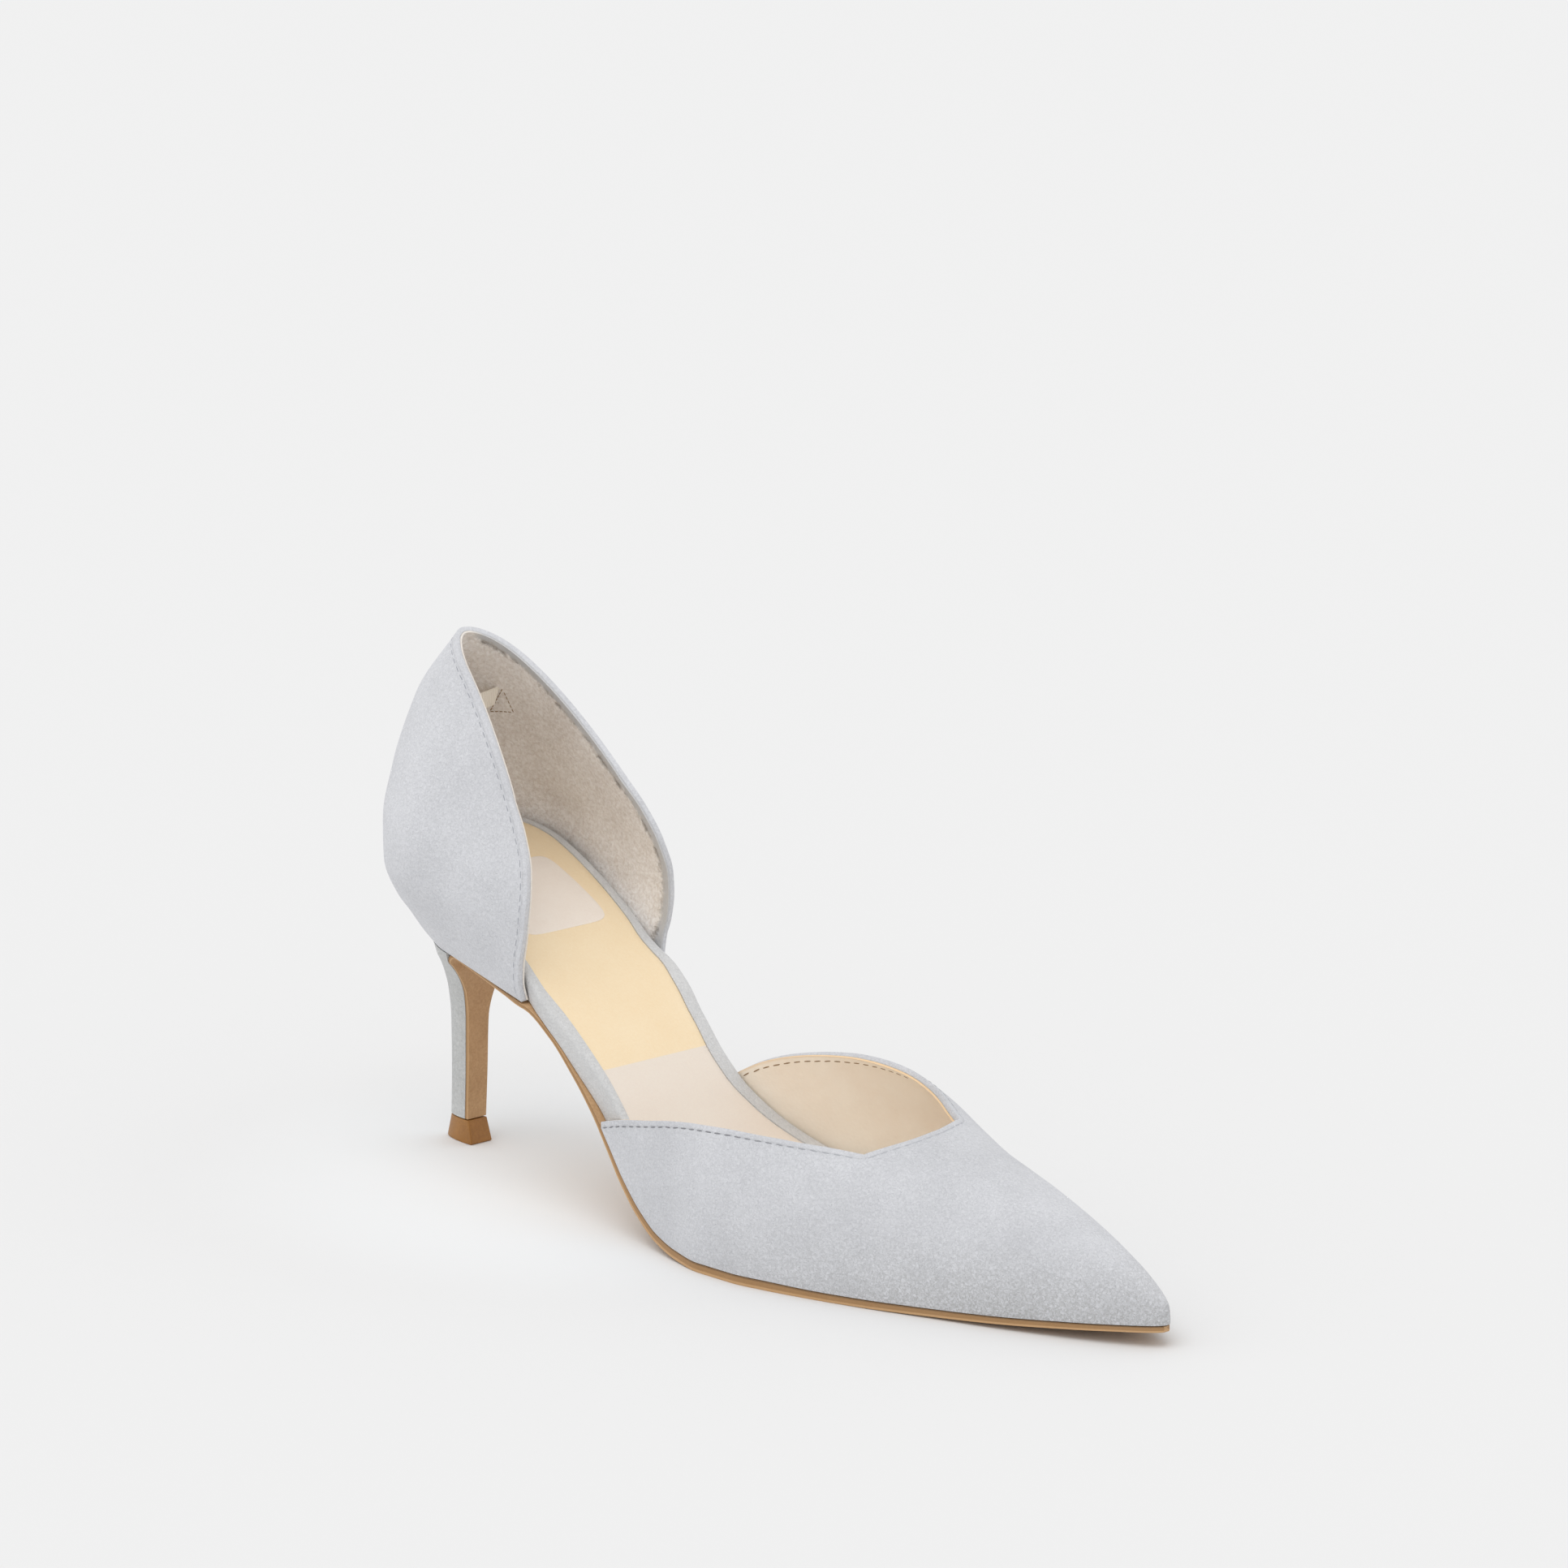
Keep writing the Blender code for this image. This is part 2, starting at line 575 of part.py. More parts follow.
def build_top_lift():
    """Build the top lift, flared towards its flat tread."""
    back, wide = heel_level["back"](LIFT_HEIGHT), heel_level["wide"](LIFT_HEIGHT)
    front = heel_level["front"](LIFT_HEIGHT) + CLEARANCE + FLAP_THICK
    rings = []
    for z, flare in ((0.0, LIFT_FLARE), (LIFT_CHAMFER, LIFT_FLARE + LIFT_CHAMFER), (LIFT_HEIGHT, 0.0)):
        half = wide + LIFT_SIDE * flare
        rings.append(bow_ring(back - flare, front + flare, front - back + 2.0 * flare, half, half,
                              lambda x, z=z: z))
    return loft("top_lift", "caramel_lift", rings)


def build_hang_loop(rows=14):
    """Build the ribbon that hangs across the back, from one side of the quarter to the other."""
    rings = []
    for i in range(rows + 1):
        share = 2.0 * i / rows - 1.0
        slack = 1.0 - share * share
        ring = []
        for depth, level in ((0.0, 0.0), (LOOP_THICK, 0.0), (LOOP_THICK, LOOP_WIDTH), (0.0, LOOP_WIDTH)):
            x = LOOP_PLACE - LOOP_BOW * slack + depth
            ring.append((x, LOOP_SPAN * share, LOOP_HEIGHT - LOOP_SAG * slack + level))
        rings.append(ring)
    return loft("hang_loop", "cream_ribbon", rings)


def stand_at_origin(pieces):
    """Move every mesh so that the middle of the shoe's box stands over the origin."""
    points = np.array([v.co for piece in pieces for v in piece.data.vertices])
    low, high = points.min(axis=0), points.max(axis=0)
    shift = (-0.5 * (low[0] + high[0]), -0.5 * (low[1] + high[1]), -low[2])
    for piece in pieces:
        for vertex in piece.data.vertices:
            vertex.co.x += shift[0]
            vertex.co.y += shift[1]
            vertex.co.z += shift[2]


def main():
    """Clear the scene and build the shoe."""
    for old in list(bpy.data.objects):
        bpy.data.objects.remove(old)
    pieces = [build_outsole(), build_heel(), build_top_lift(), build_insole(), build_sock(),
              build_vamp(), build_quarter(), build_hang_loop()]
    stand_at_origin(pieces)


main()
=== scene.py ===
"""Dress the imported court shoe: suede shells, linings, stitching, sole, heel and studio.

Lengths are in millimetres in the frame of the last, where x runs from the back of
the heel to the toe, until Last.to_row turns a point into metres in the row frame.
"""

import logging
from contextlib import contextmanager
from dataclasses import dataclass, field
from enum import Enum
from math import asin, cos, pi, radians, sin, sqrt
from typing import Any, Callable, Iterable, Iterator, Optional, Sequence

import bpy
import numpy as np
from mathutils import Matrix, Vector
from mathutils.bvhtree import BVHTree


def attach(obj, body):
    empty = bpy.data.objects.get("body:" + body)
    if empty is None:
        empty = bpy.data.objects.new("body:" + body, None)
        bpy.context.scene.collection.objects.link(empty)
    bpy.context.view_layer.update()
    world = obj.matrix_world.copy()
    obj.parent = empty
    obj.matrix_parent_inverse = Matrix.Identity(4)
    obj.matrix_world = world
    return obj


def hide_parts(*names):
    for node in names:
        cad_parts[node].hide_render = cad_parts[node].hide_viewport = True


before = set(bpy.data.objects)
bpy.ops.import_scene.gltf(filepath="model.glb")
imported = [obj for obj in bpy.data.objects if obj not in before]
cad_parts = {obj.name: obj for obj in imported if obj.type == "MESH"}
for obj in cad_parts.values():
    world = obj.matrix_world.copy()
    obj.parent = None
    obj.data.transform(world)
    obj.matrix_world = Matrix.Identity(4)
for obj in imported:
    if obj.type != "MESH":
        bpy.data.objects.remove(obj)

LOG = logging.getLogger("court_shoe")
MM = 0.001
BODY = "root"
EDGE_ATTRIBUTE = "edge_mm"
WELD_GAP = 0.00002
SLIVER = 0.00001
BATCH = 2000
DOWN = (0.0, 0.0, -1.0)
AHEAD = (1.0, 0.0, 0.0)

Point = tuple[float, float, float]
Colour = tuple[float, float, float, float]
Placer = Callable[[float, float], Point]
Table = dict[str, tuple[float, ...]]


class Side(Enum):
    """The two sides of a right shoe."""

    LATERAL = "lateral"
    MEDIAL = "medial"

    @property
    def sign(self) -> float:
        """The direction of the side along y."""
        return -1.0 if self is Side.LATERAL else 1.0


class Slot(Enum):
    """The record's material slots."""

    SUEDE = "suede"
    SOLE = "tan_sole"
    LIFT = "caramel_lift"
    SOCK = "sock_satin"
    RIBBON = "cream_ribbon"


# Bottom of the last: along in percent of length, edges in percent of ball width, tread
# in percent of heel height, thickness of the sole in millimetres
BOTTOM: Table = {
    "along": (4.4, 11.0, 16.7, 21.7, 25.5, 29.2, 32.5, 35.8, 38.3, 41.0, 44.0, 47.5,
              51.0, 55.0, 59.0, 63.0, 67.5, 73.0, 79.0, 85.5, 92.0, 96.0, 100.0),
    "lateral": (12.6, 18.8, 24.3, 29.0, 32.6, 32.5, 32.9, 34.3, 36.0, 38.2, 40.6, 43.8,
                46.8, 49.4, 49.4, 47.2, 43.4, 37.8, 30.6, 22.8, 14.0, 8.0, 4.0),
    "medial": (13.0, 19.4, 25.0, 29.7, 32.4, 30.4, 27.4, 26.2, 25.8, 28.9, 34.6, 40.4,
               45.6, 49.4, 50.8, 49.6, 46.2, 40.4, 33.2, 26.0, 18.4, 13.6, 9.4),
    "tread": (68.6, 66.4, 64.6, 62.6, 61.3, 54.0, 44.1, 33.7, 24.9, 15.8, 8.1, 2.9,
              0.7, 0.0, 0.0, 0.0, 0.0, 0.14, 0.6, 1.5, 3.0, 4.0, 4.9),
    "thick": (0.85, 0.85, 0.85, 0.85, 0.8, 0.75, 0.8, 1.0, 1.25, 1.5, 1.75, 1.9,
              2.0, 2.0, 2.0, 2.0, 1.8, 1.7, 1.6, 1.5, 1.4, 1.3, 1.3),
}

# Upper face of the sock along its middle
FOOTBED: Table = {
    "along": (1.0, 6.0, 10.8, 14.2, 18.3, 22.0, 25.0, 28.5, 32.0, 35.4, 38.5,
              41.5, 44.5, 48.0, 52.0, 57.0, 67.0, 83.0, 98.0),
    "rise": (104.0, 100.8, 95.8, 91.8, 85.8, 78.9, 71.8, 63.8, 55.9, 47.4, 39.2,
             30.4, 22.8, 17.2, 14.2, 12.8, 11.8, 12.0, 14.0),
}

# Margins in millimetres of the insole and of the sock
MARGIN: Table = {
    "along": (0.0, 20.0, 25.4, 27.2, 29.2, 33.0, 37.0, 44.0, 52.0, 62.0, 72.0, 86.0, 100.0),
    "insole": (2.5, 2.5, 2.1, 0.9, 0.6, 1.2, 2.3, 2.3, 2.3, 2.3, 2.4, 3.2, 3.8),
    "lateral": (2.0, 2.0, 2.2, 2.9, 3.3, 2.5, 1.8, 2.2, 2.6, 2.6, 2.6, 2.4, 2.2),
    "medial": (2.0, 3.2, 3.6, 4.0, 4.4, 4.2, 4.5, 4.5, 4.1, 3.2, 2.6, 2.4, 2.2),
}

# Rounded sections of the forepart: crown in percent of instep height, powers by side
CROWN: Table = {
    "along": (36.0, 42.0, 48.0, 52.0, 56.0, 60.5, 64.5, 69.0, 74.0, 78.0, 82.0,
              86.0, 90.0, 94.0, 96.5, 98.5, 100.0),
    "crown": (108.0, 104.0, 99.0, 94.0, 88.0, 81.0, 74.6, 67.6, 60.4, 55.4, 49.9,
              43.4, 35.5, 25.9, 19.4, 14.0, 9.4),
    "lateral": (2.3, 2.3, 2.4, 2.4, 2.4, 2.45, 2.6, 2.6, 2.5, 2.4, 2.4,
                2.3, 2.3, 2.2, 2.2, 2.2, 2.2),
    "medial": (2.3, 2.3, 2.4, 2.4, 2.4, 2.4, 2.35, 2.2, 2.1, 2.15, 2.2,
               2.2, 2.2, 2.2, 2.2, 2.2, 2.2),
}

# Top edge of the vamp's wings, in percent of instep height
TOPLINE: Table = {
    "along": (37.2, 40.0, 42.5, 45.0, 48.0, 51.5, 55.5, 60.0, 63.5, 66.5, 69.4),
    "lateral": (47.8, 51.8, 54.6, 57.2, 60.4, 63.0, 64.6, 64.9, 64.7, 64.0, 62.8),
    "medial": (54.0, 62.6, 67.4, 70.4, 73.0, 74.8, 75.4, 74.6, 73.0, 70.6, 67.8),
}

# Back quarter in rows from its seam to its rim: lengths in percent of length, heights
# in percent of back height, half widths in percent of ball width
QUARTER: Table = {
    "row": (0.0, 0.10, 0.20, 0.30, 0.42, 0.55, 0.70, 0.86, 1.0),
    "back": (4.4, 2.85, 1.55, 0.6, 0.2, 0.15, 0.4, 1.95, 6.6),
    "back_height": (41.4, 44.4, 47.7, 51.0, 57.4, 65.6, 74.6, 87.0, 98.9),
    "reach": (5.8, 8.0, 10.0, 11.0, 11.4, 11.7, 12.0, 10.4, 4.5),
    "wide": (15.0, 19.4, 24.4, 30.0, 37.0, 38.0, 32.8, 21.0, 8.5),
    "front": (25.15, 24.9, 25.05, 25.5, 25.9, 26.0, 25.4, 23.7, 21.6),
    "front_height": (37.35, 40.3, 43.6, 47.0, 51.4, 56.4, 62.4, 68.8, 74.2),
    "front_wide": (31.9, 32.6, 33.0, 33.5, 33.4, 32.6, 30.3, 27.7, 25.1),
    "drop": (1.0, 1.0, 1.05, 1.1, 1.15, 1.2, 1.3, 1.4, 1.5),
}

# Heel below the seam: height in percent of heel height, the rest in millimetres
HEEL: Table = {
    "height": (8.2, 24.0, 41.0, 50.5, 56.5, 61.0, 64.0),
    "back": (12.4, 12.6, 12.4, 12.0, 11.7, 11.4, 11.1),
    "front": (19.5, 19.9, 20.1, 20.8, 22.0, 23.5, 24.3),
    "bow": (2.9, 3.0, 3.2, 4.6, 6.6, 8.1, 9.1),
    "wide": (2.9, 3.0, 3.15, 4.3, 6.8, 10.0, 12.4),
}


def ease(low: float, high: float, x: float) -> float:
    """Go smoothly from 0 at low to 1 at high."""
    t = min(max((x - low) / (high - low), 0.0), 1.0)
    return t * t * (3.0 - 2.0 * t)


def rounded(t: float) -> float:
    """Give the height of a quarter circle of radius 1, flat past t = 1."""
    t = min(max(t, 0.0), 1.0)
    return sqrt(1.0 - (1.0 - t) ** 2)


def spread(low: float, high: float, count: int, lean: float = 1.0) -> list[float]:
    """Space places between two ends.

    Args:
        low: The first place.
        high: The last place.
        count: The number of steps.
        lean: Above 1, the places are closer together at the high end.

    Returns:
        count + 1 places.
    """
    return [high - (high - low) * (1.0 - i / count) ** lean for i in range(count + 1)]


class ProfileCurve:
    """A smooth curve through a table's rows that never overshoots them."""

    def __init__(self, places: Sequence[float], values: Sequence[float]) -> None:
        """Work out the slope at each row.

        Args:
            places: Where the rows are, rising.
            values: What they hold.
        """
        self.places = np.array(places)
        self.values = np.array(values)
        self.step = np.diff(self.places)
        slope = np.diff(self.values) / self.step
        self.tangent = np.zeros(len(self.places))
        self.tangent[0] = slope[0]
        self.tangent[-1] = slope[-1]
        for i in range(1, len(self.places) - 1):
            if slope[i - 1] * slope[i] > 0.0:
                before = 2.0 * self.step[i] + self.step[i - 1]
                after = self.step[i] + 2.0 * self.step[i - 1]
                self.tangent[i] = (before + after) / (before / slope[i - 1] + after / slope[i])

    def __call__(self, place: float) -> float:
        """Give the curve's value, held level past its ends.

        Args:
            place: Where it is read.

        Returns:
            The value.
        """
        xs, ys, step, tangent = self.places, self.values, self.step, self.tangent
        x = min(max(float(place), xs[0]), xs[-1])
        i = min(int(np.searchsorted(xs, x, side="right")) - 1, len(step) - 1)
        t = (x - xs[i]) / step[i]
        rest = 1.0 - t
        return float((1 + 2 * t) * rest * rest * ys[i] + t * rest * rest * step[i] * tangent[i]
                     + t * t * (3 - 2 * t) * ys[i + 1] - t * t * rest * step[i] * tangent[i + 1])


def profile(table: Table, column: str, key: str, key_scale: float, scale: float) -> ProfileCurve:
    """Make a curve from one column of a table.

    Args:
        table: The table.
        column: The column with the values.
        key: The column with the places.
        key_scale: Millimetres for one unit of the places.
        scale: Millimetres for one unit of the values.

    Returns:
        The curve in millimetres.
    """
    places = [key_scale * place for place in table[key]]
    return ProfileCurve(places, [scale * value for value in table[column]])


@dataclass
class Last:
    """The last that the pieces are made over, with its driving sizes in millimetres."""

    length: float = 240.0
    ball_width: float = 70.0
    instep: float = 50.0
    heel_height: float = 72.0
    back_height: float = 122.0
    clearance: float = 0.3
    nose_length: float = 14.0
    throat: float = 166.5
    throat_bow: float = 4.5
    wing_end: float = 89.5
    wing_end_height: float = 1.0
    quarter_crest: float = 1.2
    crest_power: int = 4
    seat_front: float = 25.6
    cup_back: float = 3.2
    cup_reach: float = 24.0
    cup_half: float = 23.4
    cup_front: float = 58.0
    cup_front_half: float = 20.2
    cup_blend: float = 5.0
    cup_dish: float = 1.8
    flap_thick: float = 1.0
    lift_height: float = 5.6
    shift: tuple[float, float] = (-120.187, -0.485)
    curves: dict[str, ProfileCurve] = field(default_factory=dict, init=False)
    quarter: dict[str, ProfileCurve] = field(default_factory=dict, init=False)
    heel: dict[str, ProfileCurve] = field(default_factory=dict, init=False)

    def __post_init__(self) -> None:
        """Turn the tables into curves in millimetres."""
        along = self.length / 100.0
        width, instep, heel = self.ball_width / 100.0, self.instep / 100.0, self.heel_height / 100.0
        plan = ((BOTTOM, "", {"lateral": width, "medial": width, "tread": heel, "thick": 1.0}),
                (FOOTBED, "", {"rise": heel}),
                (MARGIN, "_margin", {"insole": 1.0, "lateral": 1.0, "medial": 1.0}),
                (CROWN, "", {"crown": instep}),
                (CROWN, "_power", {"lateral": 1.0, "medial": 1.0}),
                (TOPLINE, "_top", {"lateral": instep, "medial": instep}))
        for table, ending, columns in plan:
            for name, scale in columns.items():
                self.curves[name + ending] = profile(table, name, "along", along, scale)
        tall = self.back_height / 100.0
        scales = {"back": along, "front": along, "reach": along, "back_height": tall,
                  "front_height": tall, "wide": width, "front_wide": width, "drop": 1.0}
        for name, scale in scales.items():
            self.quarter[name] = profile(QUARTER, name, "row", 1.0, scale)
        for name in ("back", "front", "bow", "wide"):
            self.heel[name] = profile(HEEL, name, "height", heel, 1.0)

    def to_row(self, point: Sequence[float]) -> Point:
        """Turn a point of the last, in millimetres, into metres in the row frame."""
        return (MM * (point[0] + self.shift[0]), MM * (point[1] + self.shift[1]), MM * point[2])

    def sole_top(self, x: float) -> float:
        """Give the height of the sole's upper face.

        Args:
            x: The place along the shoe.

        Returns:
            The height.
        """
        tread = self.curves["tread"]
        slope = tread(x + 0.5) - tread(x - 0.5)
        return tread(x) + self.curves["thick"](x) * sqrt(1.0 + slope * slope)

    def outline(self, x: float) -> tuple[float, float]:
        """Give the y of the sole's two edges at x, rounded off at the toe.

        Args:
            x: The place along the shoe.

        Returns:
            The lateral and the medial edge.
        """
        lateral, medial = self.curves["lateral"](x), self.curves["medial"](x)
        middle, half = 0.5 * (medial - lateral), 0.5 * (medial + lateral)
        nose = max(x - (self.length - self.nose_length), 0.0) / self.nose_length
        half *= sqrt(max(1.0 - nose * nose, 0.0))
        return middle - half, middle + half

    def bottom_edges(self, x: float, inset: float, step: float = 0.05) -> tuple[float, float]:
        """Give the two edges moved in by a distance that is square to them.

        Args:
            x: The place along the shoe.
            inset: The distance.
            step: How far apart the slope is read.

        Returns:
            The lateral and the medial edge.
        """
        before, after = self.outline(x - step), self.outline(min(x + step, self.length))
        moved = [inset * sqrt(1.0 + ((b - a) / (2.0 * step)) ** 2) for a, b in zip(before, after)]
        low, high = self.outline(x)
        return low + moved[0], high - moved[1]

    def vamp_point(self, x: float, angle: float) -> Point:
        """Give a point of the forepart, from the lateral edge at angle 0 to the medial at pi.

        Args:
            x: The place along the shoe.
            angle: The angle around the section.

        Returns:
            The point in millimetres.
        """
        low, high = self.outline(x)
        side = cos(angle)
        power = 2.0 / self.curves["lateral_power" if side >= 0.0 else "medial_power"](x)
        reach = abs(side) ** power * (1.0 if side >= 0.0 else -1.0)
        y = 0.5 * (low + high) - 0.5 * (high - low) * reach
        z = self.sole_top(x) + self.clearance + self.curves["crown"](x) * max(sin(angle), 0.0) ** power
        return (x, y, z)

    def edge_angle(self, x: float, side: Side) -> float:
        """Give the angle at which the top edge cuts the section at x.

        Args:
            x: The place along the shoe.
            side: The side of the shoe.

        Returns:
            The angle from that side's lower edge.
        """
        at = min(x, self.throat)
        angles = {}
        for each in Side:
            rise = self.curves[each.value + "_top"](at) - self.sole_top(at) - self.clearance
            share = min(max(rise, self.wing_end_height) / self.curves["crown"](at), 1.0)
            angles[each] = asin(share ** (0.5 * self.curves[each.value + "_power"](at)))
        even = 0.5 * sum(angles.values())
        return angles[side] + (even - angles[side]) * ease(self.throat, self.length, x)

    def topline_point(self, x: float, side: Side) -> Point:
        """Give a point of the vamp's top edge."""
        angle = self.edge_angle(x, side)
        return self.vamp_point(x, angle if side is Side.LATERAL else pi - angle)

    def throat_point(self, station: float, share: float) -> Point:
        """Give a point of the closed forepart, at a share of the way across.

        Args:
            station: Where the row starts at the top edges.
            share: The share from the lateral side.

        Returns:
            The point in millimetres.
        """
        bow = self.throat_bow * sin(pi * share)
        x = station + bow * (self.length - station) / (self.length - self.throat)
        low = self.edge_angle(station, Side.LATERAL)
        high = pi - self.edge_angle(station, Side.MEDIAL)
        return self.vamp_point(x, low + (high - low) * share)

    def quarter_half(self, row: float, share: float) -> float:
        """Give the half width of a quarter's row at a share of its length from the back.

        Args:
            row: The row, 0 at the seam and 1 at the rim.
            share: The share of its length.

        Returns:
            The half width.
        """
        length = self.quarter["front"](row) - self.quarter["back"](row)
        wide = self.quarter["wide"](row)
        bow = wide * rounded(share * length / self.quarter["reach"](row))
        return bow + (self.quarter["front_wide"](row) - wide) * share

    def quarter_point(self, row: float, share: float, side: Side) -> Point:
        """Give a point of the back quarter's outer face.

        Args:
            row: The row, 0 at the seam and 1 at the rim.
            share: The share of its length.
            side: The side of the shoe.

        Returns:
            The point in millimetres.
        """
        back, front = self.quarter["back"](row), self.quarter["front"](row)
        fall = self.quarter["back_height"](row) - self.quarter["front_height"](row)
        aside = rounded(share * (front - back) / self.quarter["reach"](row))
        z = self.quarter["back_height"](row) - fall * share ** self.quarter["drop"](row)
        z += self.quarter_crest * row ** self.crest_power * (1.0 - aside ** 2)
        return (back + (front - back) * share, side.sign * self.quarter_half(row, share), z)

    def seam_half(self, x: float) -> float:
        """Give the half width of the seam at the quarter's lower edge."""
        back = self.quarter["back"](0.0)
        return self.quarter_half(0.0, (x - back) / (self.quarter["front"](0.0) - back))

    def breast_half(self, z: float) -> float:
        """Give the half width of the heel's front at a height, up to the seam.

        Args:
            z: The height.

        Returns:
            The half width.
        """
        top = HEEL["height"][-1] * self.heel_height / 100.0
        share = max(z - top, 0.0) / (self.sole_top(self.seat_front) - top)
        return self.heel["wide"](z) + (self.seam_half(self.seat_front) - self.heel["wide"](top)) * share

    def footbed_edges(self, x: float, lateral: float = 0.0, medial: float = 0.0) -> tuple[float, float]:
        """Give the insole's edges, moved in: a rounded heel cup that runs into the waist.

        Args:
            x: The place along the shoe.
            lateral: The inset on the lateral side.
            medial: The inset on the medial side.

        Returns:
            The y of the lateral and of the medial edge.
        """
        mix = ease(self.cup_front - self.cup_blend, self.cup_front + self.cup_blend, x)
        waist = self.bottom_edges(max(x, self.cup_reach), self.curves["insole_margin"](x))
        edges = []
        for inset, side, edge in ((lateral, -1.0, waist[0]), (medial, 1.0, waist[1])):
            place = x - self.cup_back - inset
            cup = (self.cup_half - inset) * rounded(place / (self.cup_reach - inset))
            narrowed = max(place, 0.0) / (self.cup_front - self.cup_back)
            cup += (self.cup_front_half - self.cup_half) * narrowed
            edges.append(side * cup + (edge - side * (inset + cup)) * mix)
        return edges[0], edges[1]

    def sock_edges(self, x: float, clearance: float = 0.0) -> tuple[float, float]:
        """Give the sock's two edges, or those of the bed that it lies in."""
        lateral, medial = self.curves["lateral_margin"](x), self.curves["medial_margin"](x)
        return self.footbed_edges(x, lateral - clearance, medial - clearance)

    def footbed_height(self, x: float, y: float) -> float:
        """Give the height of the sock's upper face, dished in the heel cup."""
        dish = self.cup_dish * (1.0 - ease(self.cup_reach, self.cup_front, x))
        return self.curves["rise"](x) + dish * (y / self.cup_half) ** 2


# Bench tools

def make_active(*pieces: bpy.types.Object) -> None:
    """Select these objects alone, the first one active.

    Args:
        pieces: The objects.
    """
    bpy.ops.object.select_all(action="DESELECT")
    for piece in pieces:
        piece.select_set(True)
    bpy.context.view_layer.objects.active = pieces[0]


def add_sheet(name: str, along: int, across: int, place: Placer) -> bpy.types.Object:
    """Add a grid and lay its points over a form.

    Args:
        name: The object's name.
        along: Faces along the sheet.
        across: Faces across the sheet.
        place: Gives a point in the row frame from two shares between 0 and 1.

    Returns:
        The open sheet.
    """
    bpy.ops.object.select_all(action="DESELECT")
    bpy.ops.mesh.primitive_grid_add(x_subdivisions=along, y_subdivisions=across, size=1.0)
    sheet = bpy.context.object
    sheet.name = name
    sheet.data.name = name
    for vertex in sheet.data.vertices:
        vertex.co = place(vertex.co.x + 0.5, vertex.co.y + 0.5)
    return sheet


@contextmanager
def edit_whole(piece: bpy.types.Object) -> Iterator[None]:
    """Hold a piece in edit mode with all of it selected.

    Args:
        piece: The piece.

    Returns:
        Nothing to use: the operators inside the block work on the piece.
    """
    make_active(piece)
    bpy.ops.object.mode_set(mode="EDIT")
    bpy.ops.mesh.select_all(action="SELECT")
    yield
    bpy.ops.object.mode_set(mode="OBJECT")


def weld(piece: bpy.types.Object, close_ends: bool = False) -> None:
    """Merge the doubled points of a sheet, close its ends if asked and turn its faces one way.

    Args:
        piece: The sheet.
        close_ends: Whether its open ends are filled.
    """
    with edit_whole(piece):
        bpy.ops.mesh.remove_doubles(threshold=WELD_GAP)
        bpy.ops.mesh.dissolve_degenerate(threshold=SLIVER)
        bpy.ops.mesh.select_all(action="SELECT")
        if close_ends:
            bpy.ops.mesh.fill_holes(sides=0)
            bpy.ops.mesh.select_all(action="SELECT")
        bpy.ops.mesh.normals_make_consistent(inside=False)


def face_away(piece: bpy.types.Object, inside: Point) -> None:
    """Turn an open sheet's faces so that they point away from a place inside it.

    Args:
        piece: The sheet.
        inside: The place, in the row frame.
    """
    centre = Vector(inside)
    outward = sum((p.center - centre).dot(p.normal) * p.area for p in piece.data.polygons)
    if outward < 0.0:
        with edit_whole(piece):
            bpy.ops.mesh.flip_normals()


def trim(piece: bpy.types.Object, place: Point, direction: Point) -> None:
    """Cut away what lies past a plane.

    Args:
        piece: The sheet.
        place: A point of the plane, in the row frame.
        direction: The side that is cut away.
    """
    with edit_whole(piece):
        bpy.ops.mesh.bisect(plane_co=place, plane_no=direction, clear_outer=True, threshold=SLIVER)


def shrink(piece: bpy.types.Object, depth: float) -> None:
    """Move a sheet inwards along its normals by a depth in millimetres."""
    with edit_whole(piece):
        bpy.ops.transform.shrink_fatten(value=-depth * MM, use_even_offset=True)


def use_modifier(piece: bpy.types.Object, kind: str, **settings: Any) -> None:
    """Add a modifier with its settings and apply it.

    Args:
        piece: The piece.
        kind: The modifier's type.
        settings: Its settings by name.
    """
    make_active(piece)
    modifier = piece.modifiers.new(kind.lower(), kind)
    for name, value in settings.items():
        setattr(modifier, name, value)
    bpy.ops.object.modifier_apply(modifier=modifier.name)


def round_edges(piece: bpy.types.Object, width: float, segments: int = 3, angle: float = 45.0) -> None:
    """Round the edges that are sharper than an angle.

    Args:
        piece: The closed piece.
        width: The width of the rounding in millimetres.
        segments: The number of steps in it.
        angle: The least angle in degrees.
    """
    use_modifier(piece, "BEVEL", width=width * MM, segments=segments, limit_method="ANGLE",
                 angle_limit=radians(angle), harden_normals=False)


def thicken(piece: bpy.types.Object, wall: float) -> None:
    """Give an open sheet its wall in millimetres, inwards from its outer face."""
    use_modifier(piece, "SOLIDIFY", thickness=wall * MM, offset=-1.0, use_even_offset=True,
                 use_quality_normals=True)


def smooth_shade(piece: bpy.types.Object, angle: float = 40.0) -> None:
    """Shade a piece smooth, with edges sharper than an angle in degrees kept."""
    make_active(piece)
    bpy.ops.object.shade_smooth_by_angle(angle=radians(angle))


def twin(piece: bpy.types.Object, name: str) -> bpy.types.Object:
    """Copy a piece with its own mesh.

    Args:
        piece: The piece.
        name: The copy's name.

    Returns:
        The copy.
    """
    make_active(piece)
    bpy.ops.object.duplicate(linked=False)
    copy = bpy.context.object
    copy.name = name
    copy.data.name = name
    return copy


def join(name: str, pieces: Sequence[bpy.types.Object]) -> bpy.types.Object:
    """Join pieces into the first one and name it.

    Args:
        name: The name of the whole.
        pieces: The pieces.

    Returns:
        The whole.
    """
    make_active(*pieces)
    bpy.ops.object.join()
    whole = bpy.context.object
    whole.name = name
    whole.data.name = name
    return whole


